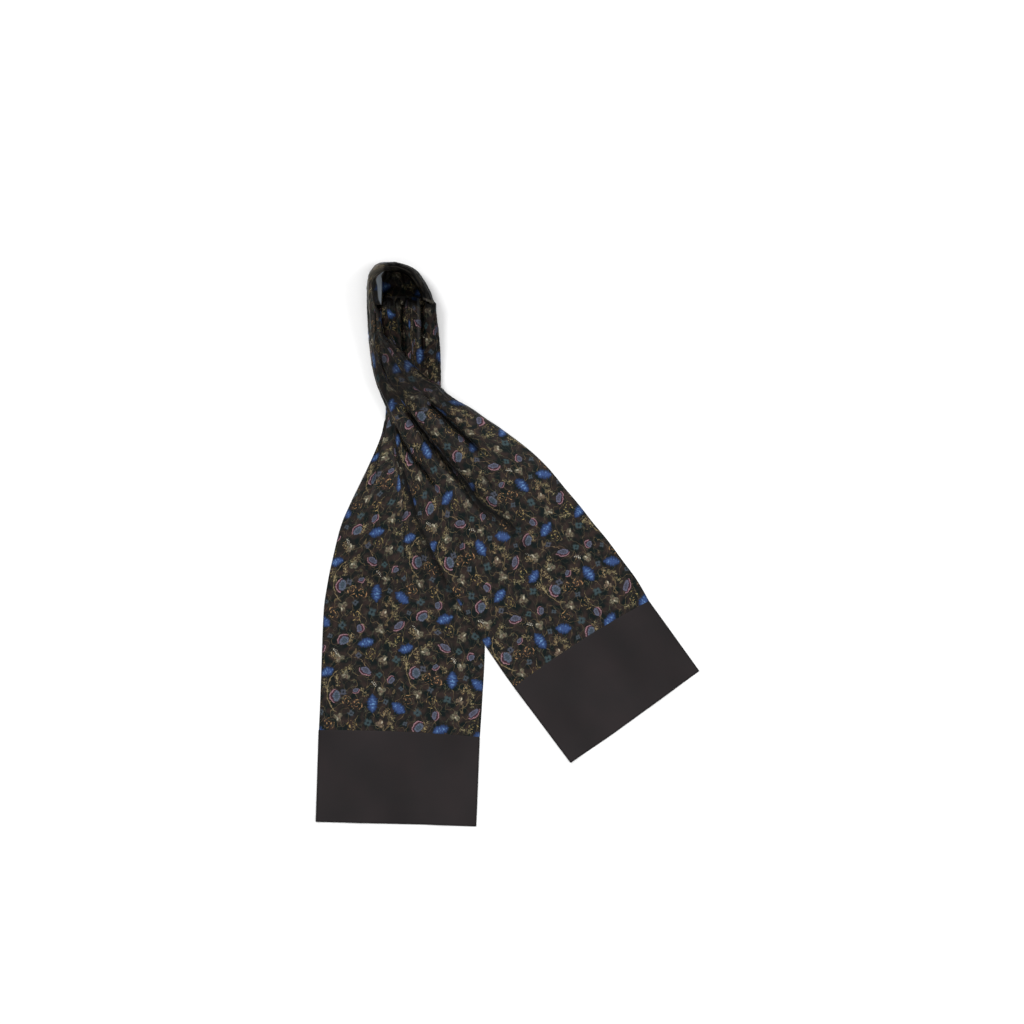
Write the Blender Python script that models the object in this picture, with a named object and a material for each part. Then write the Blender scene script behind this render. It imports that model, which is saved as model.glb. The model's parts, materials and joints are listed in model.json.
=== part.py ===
"""Long silk scarf, laid flat on a surface: a printed strip with a plain panel sewn to each end.

The neck part is gathered and doubled back at the top, its two legs cross at the waist, and the two tails
fan out below. Lengths in the tables are millimetres and become metres when a mesh is made. +X is the right
of the laid scarf, +Y points from the tails to the neck, and +Z is up from the surface that it lies on.
"""

import math
from collections import namedtuple

import bmesh
import bpy
import numpy as np

MILLIMETRE = 0.001

# The cloth: a wall that stands for both plies, and the clearances between pieces and layers.
WALL = 2.0
THIN_WALL = 1.3
SEAM_GAP = 0.3
LAYER_GAP = 0.5
LAYER_REACH = 1.5
# How far beside the rear layer the front one takes to come down to the floor.
DRAPE_OFF_TAIL = 16.0
DRAPE_OFF_NECK = 4.0

# Where the pieces of the printed strip part from each other, measured along Y, and the rounded lip over
# which the neck's pleats bend down into the hollow.
LIP_Y = 375.0
LIP_RADIUS = 9.0
LIP_END_X = -134.0
LIP_END_BLEND = 10.0
UNDER_TO_TAIL_Y = 214.0

# The rear layer from the neck's lip down to the seam of its panel, each row straight across at its Y:
# left and right edge, height of the top of the cloth in the middle, and how square the section is.
RearRow = namedtuple("RearRow", "y left right crown square")
REAR_ROWS = [
    RearRow(375, -201.0, -113.0, 38, 3.4),
    RearRow(353, -194.2, -110.0, 36, 3.4),
    RearRow(328, -190.5, -107.5, 32, 3.2),
    RearRow(303, -189.0, -105.5, 27, 3.0),
    RearRow(278, -189.0, -104.5, 22, 3.0),
    RearRow(253, -189.0, -104.0, 18.5, 2.8),
    RearRow(228, -189.8, -104.0, 16, 2.6),
    RearRow(203, -190.5, -104.0, 13.5, 2.4),
    RearRow(178, -194.5, -101.0, 11.5, 2.2),
    RearRow(140, -208.5, -91.5, 9.5, 2.0),
    RearRow(103, -226.0, -79.0, 7.5, 2.0),
    RearRow(65, -244.5, -66.5, 6.0, 2.0),
    RearRow(28, -260.0, -55.5, 5.0, 2.0),
    RearRow(-22, -272.5, -44.5, 4.0, 2.0),
    RearRow(-60, -280.5, -40.0, 3.2, 2.0),
    RearRow(-103, -286.5, -37.0, 2.6, 2.0),
    RearRow(-160, -289.0, -36.0, 2.0, 2.0),
    RearRow(-244, -292.0, -40.0, 2.0, 2.0),
    RearRow(-304, -294.7, -43.8, 2.0, 2.0),
]
REAR_SEAM_LEFT_Y = -290.6
REAR_SEAM_RIGHT_Y = -301.6
REAR_SEAM_BOW = 3.0
REAR_LEAN_FROM_Y = -110.0
REAR_SEAM_LEFT = (REAR_ROWS[-1].left, REAR_SEAM_LEFT_Y)
REAR_SEAM_RIGHT = (REAR_ROWS[-1].right, REAR_SEAM_RIGHT_Y)
REAR_HEM_LEFT = (-299.2, -434.4)
REAR_HEM_RIGHT = (-49.2, -440.6)

# The front layer from the seam of its panel up to the top of the neck's left leg: both ends of each
# station and the height of its crown above the floor.
FrontRow = namedtuple("FrontRow", "left_x left_y right_x right_y crown square")
FRONT_ROWS = [
    FrontRow(10.2, -223.4, 220.5, -89.1, 2.0, 2.0),
    FrontRow(-8.6, -196.9, 201.5, -56.2, 2.0, 2.0),
    FrontRow(-36.7, -154.7, 177.3, -23.4, 2.3, 2.0),
    FrontRow(-57.0, -121.9, 155.5, 6.2, 3.0, 2.0),
    FrontRow(-75.8, -92.2, 132.3, 34.4, 4.5, 2.0),
    FrontRow(-92.0, -62.5, 111.7, 61.0, 6.5, 2.0),
    FrontRow(-107.0, -31.2, 89.4, 87.5, 9.0, 2.0),
    FrontRow(-123.0, 3.1, 66.4, 115.6, 12.0, 2.0),
    FrontRow(-136.0, 31.2, 41.4, 140.6, 15.5, 2.0),
    FrontRow(-144.5, 60.0, 16.4, 160.9, 18.5, 2.0),
    FrontRow(-152.5, 88.0, -11.7, 181.2, 21.5, 2.1),
    FrontRow(-162.0, 119.0, -35.2, 198.4, 24.0, 2.2),
    FrontRow(-171.0, 150.0, -60.2, 215.6, 26.0, 2.3),
    FrontRow(-178.5, 178.0, -80.5, 228.1, 28.0, 2.4),
    FrontRow(-186.0, 200.0, -94.5, 237.5, 29.0, 2.4),
    FrontRow(-193.0, 218.8, -104.5, 246.9, 30.0, 2.4),
    FrontRow(-200.8, 237.5, -124.2, 257.8, 31.0, 2.5),
    FrontRow(-207.0, 256.2, -144.5, 276.6, 32.5, 2.6),
    FrontRow(-211.7, 278.1, -163.3, 298.4, 34.5, 2.7),
    FrontRow(-214.8, 303.1, -181.0, 317.2, 37.0, 2.8),
    FrontRow(-217.2, 328.1, -192.5, 332.8, 40.0, 3.0),
    FrontRow(-218.8, 353.1, -195.6, 353.1, 43.0, 3.0),
    FrontRow(-219.5, 375.0, -202.4, 375.0, 45.0, 3.0),
]
FRONT_TAIL_STATIONS = (0.0, 14.985)
NECK_OVER_STATIONS = (15.0, 22.0)
FRONT_SEAM_BOW = 5.0
FRONT_BOW_STATIONS = 2.0
FRONT_SEAM_LEFT = (FRONT_ROWS[0].left_x, FRONT_ROWS[0].left_y)
FRONT_SEAM_RIGHT = (FRONT_ROWS[0].right_x, FRONT_ROWS[0].right_y)
FRONT_HEM_LEFT = (99.2, -342.2)
FRONT_HEM_RIGHT = (299.2, -198.4)

# The back of the neck: a folded band that stands on edge round the hollow, from the left leg clockwise
# to the right of the lip.
TurnRow = namedtuple("TurnRow", "outer_x outer_y inner_x inner_y crown")
TURN_ROWS = [
    TurnRow(-219.5, 375.3, -202.4, 375.3, 45.0),
    TurnRow(-219.5, 396.9, -204.5, 396.0, 46.5),
    TurnRow(-218.0, 417.0, -199.0, 408.0, 48.0),
    TurnRow(-210.5, 432.0, -189.5, 412.0, 49.0),
    TurnRow(-196.0, 440.0, -181.0, 413.5, 49.0),
    TurnRow(-178.9, 440.6, -172.0, 413.5, 48.5),
    TurnRow(-160.2, 436.5, -163.0, 411.5, 47.5),
    TurnRow(-143.0, 428.0, -154.0, 407.0, 45.5),
    TurnRow(-130.5, 412.5, -146.0, 399.5, 43.0),
    TurnRow(-120.5, 395.3, -138.5, 389.0, 40.0),
    TurnRow(-113.0, 375.3, -132.0, 375.3, 37.5),
]
TURN_SQUARE = 2.6
FLOOR_HEIGHT = 3.0
FLOOR_SHARE = 0.96
FLOOR_START = 0.03
HOLLOW_MIDDLE = (-166.0, 389.0)

# The folds that radiate from the waist, and the pleats of the neck: troughs along a smooth line, each with
# its depth, the width of its steep and of its gentle side, and how far it takes to set in and fade out.
Fold = namedtuple("Fold", "layer depth steep gentle set_in fade_out line")
FOLDS = [
    Fold("front", 17, 6.0, 11.0, 0.22, 0.45,
         [(-164, 221), (-149, 202), (-99, 139), (-59, 87), (4, 34), (30, 2)]),
    Fold("front", 12, 5.5, 10.0, 0.25, 0.40, [(-138, 240), (-121, 222), (-102, 205), (-65, 170), (-28, 134)]),
    Fold("front", 10, 5.5, 9.0, 0.25, 0.45,
         [(-180, 197), (-159, 155), (-146, 134), (-129, 116), (-113, 92), (-90, 60)]),
    Fold("front", 3.5, 4.5, 7.0, 0.15, 0.30,
         [(-210, 376), (-208, 345), (-201, 300), (-186, 258), (-162, 224)]),
    Fold("front", 3.0, 4.5, 7.0, 0.25, 0.35,
         [(-199, 335), (-192, 302), (-172, 270), (-146, 246), (-124, 226)]),
    Fold("front", 2.5, 6.0, 10.0, 0.40, 0.40, [(-24, 75), (4, 98), (36, 124)]),
    Fold("front", 4, 7.0, 12.0, 0.30, 0.50, [(-80, 22), (-74, -5), (-60, -40)]),
    Fold("front", 3, 8.0, 14.0, 0.40, 0.50, [(28, 32), (66, -10), (92, -42)]),
    Fold("rear", 4, 6.0, 8.0, 0.15, 0.50, [(-186, 196), (-196, 160), (-206, 110), (-218, 60)]),
    Fold("rear", 4, 5.5, 7.0, 0.20, 0.50, [(-178, 186), (-176, 140), (-164, 80), (-160, 20), (-159, -40)]),
    Fold("rear", 2.5, 7.0, 10.0, 0.30, 0.50, [(-140, 20), (-132, -30), (-127, -90)]),
    Fold("rear", 4, 4.5, 6.0, 0.02, 0.10, [(-163, 376), (-162, 311), (-160, 244), (-160, 214)]),
    Fold("rear", 5, 4.5, 7.0, 0.02, 0.10, [(-133, 376), (-130, 311), (-128, 250), (-128, 214)]),
    Fold("rear", 3, 4.0, 5.0, 0.10, 0.20, [(-177, 370), (-175, 330), (-172, 280)]),
]
SAMPLES_PER_SPAN = 10
FOLD_START_WIDTH = 0.75

# Grooves along the sides of the neck, where its folded layers show: their heights as shares of the crown,
# and the heights at which a section has its points on each side.
LAYER_LINES = [0.26, 0.50, 0.72]
LAYER_GROOVE = 2.2
LAYER_GROOVE_WIDTH = 0.05
GROOVED_FROM = 0.55
GROOVED_BLEND = 0.25
SIDE_HEIGHTS = [0.0, 0.10, 0.20, 0.26, 0.32, 0.44, 0.50, 0.56, 0.66, 0.72, 0.78, 0.88]

# Size of the grids that carry the shapes, as stretches of (start, end, rows) along Y or as plain counts, and
# where the columns begin to crowd towards the rounded edges.
REAR_TAIL_STEPS = [(214, 130, 7), (130, 20, 8), (20, -110, 7), (-110, -304, 6)]
TAIL_COLUMNS = 24
UNDER_STEPS = [(375, 364, 5), (364, 214.3, 17)]
NECK_ROWS = 20
NECK_TOP_COLUMNS = 12
FRONT_TAIL_ROWS = 40
FRONT_TAIL_COLUMNS = 34
TURN_LENGTHWISE = 30
TURN_TOP_COLUMNS = 4
REAR_CROWDING = (60.0, 220.0)
FRONT_CROWDING = (8.0, 16.0)
PANEL_ROWS = 5
PANEL_COLUMNS = 8
FLOOR_ROWS = 5
FLOOR_COLUMNS = 7

# Angle in degrees from which an edge is drawn sharp, the normal's Z below which a face is part of the flat
# underside, the step over which a slope is measured, and a length that only guards a division.
SHARP_ANGLE = 60
UNDERSIDE_NORMAL = -0.999
FLAT_ANGLE = 0.001
SLOPE_STEP = 1.0
LEAST_LENGTH = 1e-6


def smooth_through(knots, values, places):
    """Values at places of a smooth curve through the knots, which doesn't overshoot between them."""
    knots = np.asarray(knots, float)
    values = np.asarray(values, float)
    places = np.clip(np.asarray(places, float), knots[0], knots[-1])
    widths = np.diff(knots)
    rates = np.diff(values) / widths
    slopes = np.zeros_like(values)
    slopes[0] = rates[0]
    slopes[-1] = rates[-1]
    same_way = rates[:-1] * rates[1:] > 0
    before = rates[:-1][same_way]
    after = rates[1:][same_way]
    slopes[1:-1][same_way] = 2 * before * after / (before + after)
    span = np.clip(np.searchsorted(knots, places, side="right") - 1, 0, len(widths) - 1)
    share = (places - knots[span]) / widths[span]
    start = (1 + 2 * share) * (1 - share) ** 2 * values[span]
    leave = share * (1 - share) ** 2 * slopes[span] * widths[span]
    end = share**2 * (3 - 2 * share) * values[span + 1]
    arrive = share**2 * (share - 1) * slopes[span + 1] * widths[span]
    return start + leave + end + arrive


def column(rows, name):
    return [getattr(row, name) for row in rows]


def ease(share):
    share = np.clip(share, 0, 1)
    return share * share * (3 - 2 * share)


def eased_between(value, limits):
    return ease((value - limits[0]) / (limits[1] - limits[0]))


def up_the_tail(seam_left, seam_right, hem_left, hem_right):
    """Unit direction in plan from a panel's hem towards its seam."""
    along = (np.add(seam_left, seam_right) - np.add(hem_left, hem_right)) / 2
    return along / np.linalg.norm(along)


def rounded(across, square):
    """Height share of a rounded section: 0 at both edges (-1 and 1) and 1 in the middle."""
    inside = np.clip(1 - np.abs(across) ** square, 0, 1)
    return inside ** (1 / square)


def even_across(count, square, crowding):
    """Places across a section, from -1 to 1, which crowd towards its edges where it is rounded."""
    turn = np.linspace(0, 1, count)[None, :]
    angle = math.pi * turn
    on_curve = -np.sign(np.cos(angle)) * np.abs(np.cos(angle)) ** (2 / square)
    return crowding * on_curve + (1 - crowding) * (2 * turn - 1)


def sided_across(count, square):
    """Places across a neck section: the side heights up one side, count on top, and down the other side."""
    heights = np.array(SIDE_HEIGHTS)[None, :]
    side = np.clip(1 - heights**square, 0, 1) ** (1 / square)
    top = side[:, -1:] * np.linspace(1, -1, count + 2)[None, 1:-1]
    return np.concatenate([-side, -top, side[:, ::-1]], axis=1)


def fold_line(points):
    knots = np.arange(len(points))
    places = np.linspace(0, len(points) - 1, (len(points) - 1) * SAMPLES_PER_SPAN + 1)
    line_x = smooth_through(knots, [point[0] for point in points], places)
    line_y = smooth_through(knots, [point[1] for point in points], places)
    return line_x, line_y


def trough(fold, x, y):
    """Depth of one fold at the points (x, y)."""
    line_x, line_y = fold_line(fold.line)
    offset_x = x[..., None] - line_x
    offset_y = y[..., None] - line_y
    nearest = np.argmin(offset_x**2 + offset_y**2, axis=-1)
    along = nearest / (len(line_x) - 1)
    pick = nearest[..., None]
    away_x = np.take_along_axis(offset_x, pick, -1)[..., 0]
    away_y = np.take_along_axis(offset_y, pick, -1)[..., 0]
    heading_x = np.gradient(line_x)[nearest]
    heading_y = np.gradient(line_y)[nearest]
    on_left = heading_x * away_y - heading_y * away_x > 0
    width = np.where(on_left, fold.steep, fold.gentle) * (FOLD_START_WIDTH + along)
    distance = np.hypot(away_x, away_y)
    envelope = ease(along / fold.set_in) * ease((1 - along) / fold.fade_out)
    return fold.depth * envelope * np.exp(-((distance / width) ** 2))


def troughs(layer, x, y):
    return sum(trough(fold, x, y) for fold in FOLDS if fold.layer == layer)


def rear_at(name, y):
    """One column of the rear table at any Y."""
    rows = REAR_ROWS[::-1]
    return smooth_through(column(rows, "y"), column(rows, name), y)


def rear_mound(x, y):
    """Top of the rear layer without its folds."""
    left = rear_at("left", y)
    right = rear_at("right", y)
    across = np.clip((2 * x - left - right) / (right - left), -1, 1)
    over_lip = np.clip((y - LIP_Y + LIP_RADIUS) / LIP_RADIUS, 0, 1)
    bend = LIP_RADIUS * (1 - np.sqrt(1 - over_lip**2)) * (1 - ease((x - LIP_END_X) / LIP_END_BLEND))
    crown = rear_at("crown", y) - WALL
    return WALL + (crown - bend) * rounded(across, rear_at("square", y))


def rear_top(x, y):
    mound = rear_mound(x, y)
    return np.maximum(mound - troughs("rear", x, y), np.minimum(mound, WALL))


def support_once(x, y):
    left = rear_at("left", y)
    right = rear_at("right", y)
    outside = np.maximum(left - x, x - right)
    reach = np.where(y > UNDER_TO_TAIL_Y, DRAPE_OFF_NECK, DRAPE_OFF_TAIL)
    return np.where(outside > 0, WALL * (1 - ease(outside / reach)), rear_mound(x, y))


def support(x, y):
    """What the front layer lies on: the rear layer with a clearance, or the floor beside it."""
    found = support_once(x, y)
    for step_x, step_y in ((1, 0), (-1, 0), (0, 1), (0, -1)):
        found = np.maximum(found, support_once(x + step_x * LAYER_REACH, y + step_y * LAYER_REACH))
    lifted = LAYER_GAP * ease(found / WALL)
    return found + lifted


def front_at(name, station):
    return smooth_through(np.arange(len(FRONT_ROWS)), column(FRONT_ROWS, name), station)


def front_place(station, across):
    """Point of the front layer's plan, from -1 at its left edge to 1 at its right edge."""
    share = (across + 1) / 2
    x = front_at("left_x", station) * (1 - share) + front_at("right_x", station) * share
    y = front_at("left_y", station) * (1 - share) + front_at("right_y", station) * share
    bow = FRONT_SEAM_BOW * (1 - across**2) * ease(1 - station / FRONT_BOW_STATIONS)
    up_x, up_y = up_the_tail(FRONT_SEAM_LEFT, FRONT_SEAM_RIGHT, FRONT_HEM_LEFT, FRONT_HEM_RIGHT)
    return x + up_x * bow, y + up_y * bow


def front_top(station, across, x, y):
    ground = support(x, y)
    mound = WALL + (front_at("crown", station) - WALL) * rounded(across, front_at("square", station))
    top = np.maximum(mound, ground + WALL)
    return np.maximum(top - troughs("front", x, y), ground + THIN_WALL)


def steepness(height_of, x, y):
    """Factor from the wall's thickness to its upright measure, on a slope of the given surface."""
    slope_x = (height_of(x + SLOPE_STEP, y) - height_of(x - SLOPE_STEP, y)) / (2 * SLOPE_STEP)
    slope_y = (height_of(x, y + SLOPE_STEP) - height_of(x, y - SLOPE_STEP)) / (2 * SLOPE_STEP)
    return np.sqrt(1 + slope_x**2 + slope_y**2)


def points(x, y, z):
    return np.stack([x, y, z], axis=-1)


def grooved(upper, centre_x, centre_y, crown, right_side=True):
    """The sides of a neck stretch drawn in where one folded layer meets the next."""
    height_share = upper[..., 2] / crown
    depth = np.zeros_like(height_share)
    for line in LAYER_LINES:
        depth += LAYER_GROOVE * np.exp(-(((height_share - line) / LAYER_GROOVE_WIDTH) ** 2))
    inward_x = centre_x - upper[..., 0]
    inward_y = centre_y - upper[..., 1]
    length = np.maximum(np.hypot(inward_x, inward_y), LEAST_LENGTH)
    side = ease((length / np.max(length, axis=1, keepdims=True) - GROOVED_FROM) / GROOVED_BLEND)
    if not right_side:
        side[:, side.shape[1] // 2 :] = 0
    grooved_upper = upper.copy()
    grooved_upper[..., 0] += inward_x / length * depth * side
    grooved_upper[..., 1] += inward_y / length * depth * side
    return grooved_upper


def make_material(name, colour, roughness, sheen):
    material = bpy.data.materials.new(name)
    material.use_nodes = True
    shader = material.node_tree.nodes["Principled BSDF"]
    shader.inputs["Base Color"].default_value = (*colour, 1)
    shader.inputs["Roughness"].default_value = roughness
    shader.inputs["Metallic"].default_value = 0
    shader.inputs["Sheen Weight"].default_value = sheen
    return material


def make_layer(name, upper, lower, material, whole_ends, flat_below):
    """A closed layer of cloth: a grid set to the upper points, with the lower face extruded from it."""
    rows, columns = upper.shape[:2]
    mesh = bmesh.new()
    bmesh.ops.create_grid(mesh, x_segments=columns - 1, y_segments=rows - 1, size=0.5)
    extruded = bmesh.ops.extrude_face_region(mesh, geom=mesh.faces[:])["geom"]
    copied = {item for item in extruded if isinstance(item, bmesh.types.BMVert)}
    row_of = {vertex: round((vertex.co.y + 0.5) * (rows - 1)) for vertex in mesh.verts}
    for vertex in mesh.verts:
        across = round((vertex.co.x + 0.5) * (columns - 1))
        target = lower if vertex in copied else upper
        vertex.co = target[row_of[vertex], across] * MILLIMETRE
    # The cut end of a folded stretch is one flat face, and so is the face that it rests on.
    if whole_ends:
        for end_row in (0, rows - 1):
            end = [face for face in mesh.faces if all(row_of[vertex] == end_row for vertex in face.verts)]
            bmesh.ops.dissolve_faces(mesh, faces=end)
    bmesh.ops.recalc_face_normals(mesh, faces=mesh.faces[:])
    if flat_below:
        on_floor = [
            edge for edge in mesh.edges if all(face.normal.z < UNDERSIDE_NORMAL for face in edge.link_faces)
        ]
        bmesh.ops.dissolve_limit(mesh, angle_limit=FLAT_ANGLE, verts=[], edges=on_floor)
    data = bpy.data.meshes.new(name)
    mesh.to_mesh(data)
    mesh.free()
    data.shade_smooth()
    data.set_sharp_from_angle(angle=math.radians(SHARP_ANGLE))
    data.materials.append(material)
    layer = bpy.data.objects.new(name, data)
    scarf.objects.link(layer)
    return layer


def rear_sheet(name, heights, columns, material, solid):
    """A stretch of the rear layer, over the given Y values."""
    y = np.asarray(heights, float)[:, None]
    if solid:
        across = sided_across(columns, rear_at("square", y))
    else:
        across = even_across(columns, rear_at("square", y), eased_between(y, REAR_CROWDING))
    y = np.repeat(y, across.shape[1], axis=1)
    share = (across + 1) / 2
    # Near the panel the rows lean with the seam.
    seam_y = REAR_SEAM_LEFT_Y + (REAR_SEAM_RIGHT_Y - REAR_SEAM_LEFT_Y) * share
    seam_y = seam_y + REAR_SEAM_BOW * (1 - across**2)
    lowest = REAR_ROWS[-1].y
    y = y + (seam_y - lowest) * eased_between(y, (REAR_LEAN_FROM_Y, lowest))
    left = rear_at("left", y)
    right = rear_at("right", y)
    x = left + (right - left) * share
    top = rear_top(x, y)
    if solid:
        upper = points(x, y, top)
        upper = grooved(upper, (left + right) / 2, y, rear_at("crown", y))
        lower = points(x, y, np.zeros_like(top))
    else:
        upper = points(x, y, top)
        lower = points(x, y, np.maximum(top - WALL * steepness(rear_top, x, y), 0))
    return make_layer(name, upper, lower, material, whole_ends=solid, flat_below=solid)


def front_sheet(name, stations, columns, material, solid):
    """A stretch of the front layer, over the given stations."""
    station = np.asarray(stations, float)[:, None]
    if solid:
        across = sided_across(columns, front_at("square", station))
    else:
        across = even_across(columns, front_at("square", station), eased_between(station, FRONT_CROWDING))
    station = np.repeat(station, across.shape[1], axis=1)
    x, y = front_place(station, across)
    top = front_top(station, across, x, y)
    ground = support(x, y)
    # Where it comes down beside the rear layer, its underside rests on the floor.
    ground = np.where(ground < LAYER_GAP, 0, ground)
    if solid:
        middle_x, middle_y = front_place(station, np.zeros_like(across))
        upper = grooved(points(x, y, top), middle_x, middle_y, front_at("crown", station), False)
        lower = points(x, y, np.minimum(ground, top - THIN_WALL))
    else:
        slopes = [np.gradient(top, axis=way) / np.hypot(np.gradient(x, axis=way), np.gradient(y, axis=way))
                  for way in (0, 1)]
        upright = WALL * np.sqrt(1 + slopes[0] ** 2 + slopes[1] ** 2)
        upper = points(x, y, top)
        lower = points(x, y, np.minimum(np.maximum(top - upright, ground), top - THIN_WALL))
    return make_layer(name, upper, lower, material, whole_ends=solid, flat_below=False)


def panel(name, seam_left, seam_right, hem_left, hem_right, bow, material):
    """A flat end panel between its seam and its hem."""
    down = np.linspace(0, 1, PANEL_ROWS)[:, None, None]
    share = np.linspace(0, 1, PANEL_COLUMNS)[:, None]
    up = up_the_tail(seam_left, seam_right, hem_left, hem_right)
    bulge = bow * (1 - (2 * share - 1) ** 2)
    seam = np.multiply(seam_left, 1 - share) + np.multiply(seam_right, share) + up * (bulge - SEAM_GAP)
    hem = np.multiply(hem_left, 1 - share) + np.multiply(hem_right, share)
    plan = seam * (1 - down) + hem * down
    top = np.full(plan.shape[:2], WALL)
    upper = points(plan[..., 0], plan[..., 1], top)
    lower = points(plan[..., 0], plan[..., 1], np.zeros_like(top))
    return make_layer(name, upper, lower, material, whole_ends=False, flat_below=True)


def turn_at(name, place):
    return smooth_through(np.arange(len(TURN_ROWS)), column(TURN_ROWS, name), place)


def neck_turn(material):
    place = np.linspace(0, len(TURN_ROWS) - 1, TURN_LENGTHWISE)[:, None]
    across = sided_across(TURN_TOP_COLUMNS, TURN_SQUARE)
    share = (across + 1) / 2
    outer_x, outer_y = turn_at("outer_x", place), turn_at("outer_y", place)
    inner_x, inner_y = turn_at("inner_x", place), turn_at("inner_y", place)
    x = outer_x * (1 - share) + inner_x * share
    y = outer_y * (1 - share) + inner_y * share
    crown = turn_at("crown", place)
    top = WALL + (crown - WALL) * rounded(across, TURN_SQUARE)
    upper = grooved(points(x, y, top), (outer_x + inner_x) / 2, (outer_y + inner_y) / 2, crown)
    lower = points(x, y, np.zeros_like(top))
    return make_layer("neck_turn", upper, lower, material, whole_ends=True, flat_below=True)


def neck_floor(material):
    """The folds at the bottom of the hollow, inside the standing band and up to the lip."""
    share = np.linspace(0, 1, FLOOR_COLUMNS)[None, :]
    down = np.linspace(0, 1, FLOOR_ROWS)[:, None]
    place = (len(TURN_ROWS) - 1) * (FLOOR_START + (1 - 2 * FLOOR_START) * share)
    middle_x, middle_y = HOLLOW_MIDDLE
    rim_x = middle_x + (turn_at("inner_x", place) - middle_x) * FLOOR_SHARE
    rim_y = middle_y + (turn_at("inner_y", place) - middle_y) * FLOOR_SHARE
    x = rim_x * (1 - down) + (rim_x[0, 0] * (1 - share) + rim_x[0, -1] * share) * down
    y = rim_y * (1 - down) + (LIP_Y + SEAM_GAP) * down
    upper = points(x, y, np.full(x.shape, FLOOR_HEIGHT))
    lower = points(x, y, np.zeros(x.shape))
    return make_layer("neck_floor", upper, lower, material, whole_ends=False, flat_below=True)


for leftover in list(bpy.data.objects):
    bpy.data.objects.remove(leftover)

scarf = bpy.data.collections.new("silk_scarf")
bpy.context.scene.collection.children.link(scarf)

printed = make_material("printed_silk", (0.030, 0.028, 0.026), 0.45, 0.2)
plain = make_material("plain_silk", (0.028, 0.023, 0.023), 0.50, 0.2)

tail_heights = np.concatenate(
    [np.linspace(start, end, count, endpoint=False) for start, end, count in REAR_TAIL_STEPS]
    + [[REAR_ROWS[-1].y]]
)
rear_sheet("rear_tail", tail_heights, TAIL_COLUMNS, printed, False)
under_heights = np.concatenate(
    [np.linspace(start, end, count, endpoint=False) for start, end, count in UNDER_STEPS]
    + [[UNDER_TO_TAIL_Y + SEAM_GAP]]
)
rear_sheet("neck_under", under_heights, NECK_TOP_COLUMNS, printed, True)
tail_stations = np.linspace(*FRONT_TAIL_STATIONS, FRONT_TAIL_ROWS)
front_sheet("front_tail", tail_stations, FRONT_TAIL_COLUMNS, printed, False)
front_sheet("neck_over", np.linspace(*NECK_OVER_STATIONS, NECK_ROWS), NECK_TOP_COLUMNS, printed, True)
neck_turn(printed)
neck_floor(printed)
panel("rear_panel", REAR_SEAM_LEFT, REAR_SEAM_RIGHT, REAR_HEM_LEFT, REAR_HEM_RIGHT, REAR_SEAM_BOW, plain)
panel("front_panel", FRONT_SEAM_LEFT, FRONT_SEAM_RIGHT, FRONT_HEM_LEFT, FRONT_HEM_RIGHT,
      FRONT_SEAM_BOW, plain)
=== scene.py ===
"""Looks of the long silk scarf, laid flat: printed cloth, plain end panels, folds, seams and studio.

Tables give millimetres in the part's own frame and become metres when a mesh is made. +X is the right of
the laid scarf, +Y points from the tails to the neck, and +Z is up from the surface that it lies on.
"""

import json
import math
from collections import namedtuple

import bpy
import numpy as np
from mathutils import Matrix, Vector

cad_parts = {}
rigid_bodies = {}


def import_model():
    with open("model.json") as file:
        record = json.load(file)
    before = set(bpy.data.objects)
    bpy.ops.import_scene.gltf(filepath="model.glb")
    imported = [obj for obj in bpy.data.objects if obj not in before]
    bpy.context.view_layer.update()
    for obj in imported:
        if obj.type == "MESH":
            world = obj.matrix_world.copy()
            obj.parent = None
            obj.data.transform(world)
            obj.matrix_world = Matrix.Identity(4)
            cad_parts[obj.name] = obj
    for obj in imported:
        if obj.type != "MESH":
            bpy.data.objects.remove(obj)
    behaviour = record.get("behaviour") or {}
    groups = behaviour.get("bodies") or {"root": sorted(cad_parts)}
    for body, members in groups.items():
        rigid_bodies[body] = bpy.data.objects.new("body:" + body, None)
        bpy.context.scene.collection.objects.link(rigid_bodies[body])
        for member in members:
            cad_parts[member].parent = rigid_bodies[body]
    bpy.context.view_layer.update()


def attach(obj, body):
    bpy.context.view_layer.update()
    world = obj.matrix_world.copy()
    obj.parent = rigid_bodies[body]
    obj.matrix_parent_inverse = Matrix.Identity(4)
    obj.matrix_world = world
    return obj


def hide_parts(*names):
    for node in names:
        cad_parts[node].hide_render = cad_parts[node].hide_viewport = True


for leftover in list(bpy.data.objects):
    bpy.data.objects.remove(leftover)

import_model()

MILLIMETRE = 0.001

# The cloth of two plies, and how high its upper face lies on the floor.
CLOTH = 1.2
LYING = 1.3
CLOTH_WIDTH = 250
RIM_ROUND = 0.6

# The least height of the cloth's upper face, lower face and rim above the floor.
UPPER_LEAST = 0.5
LOWER_LEAST = 0.05
RIM_LEAST = 0.1

# Grid sizes: rows along a stretch of cloth, and columns across it.
COLUMNS = 160
TAIL_ROWS = 290
NECK_ROWS = 290
REAR_NECK_ROWS = 180
LIP_ROWS = 26
PANEL_GRID = (90, 150)
HOLLOW_GRID = (60, 80)
NOISE_CELLS = 64


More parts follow.
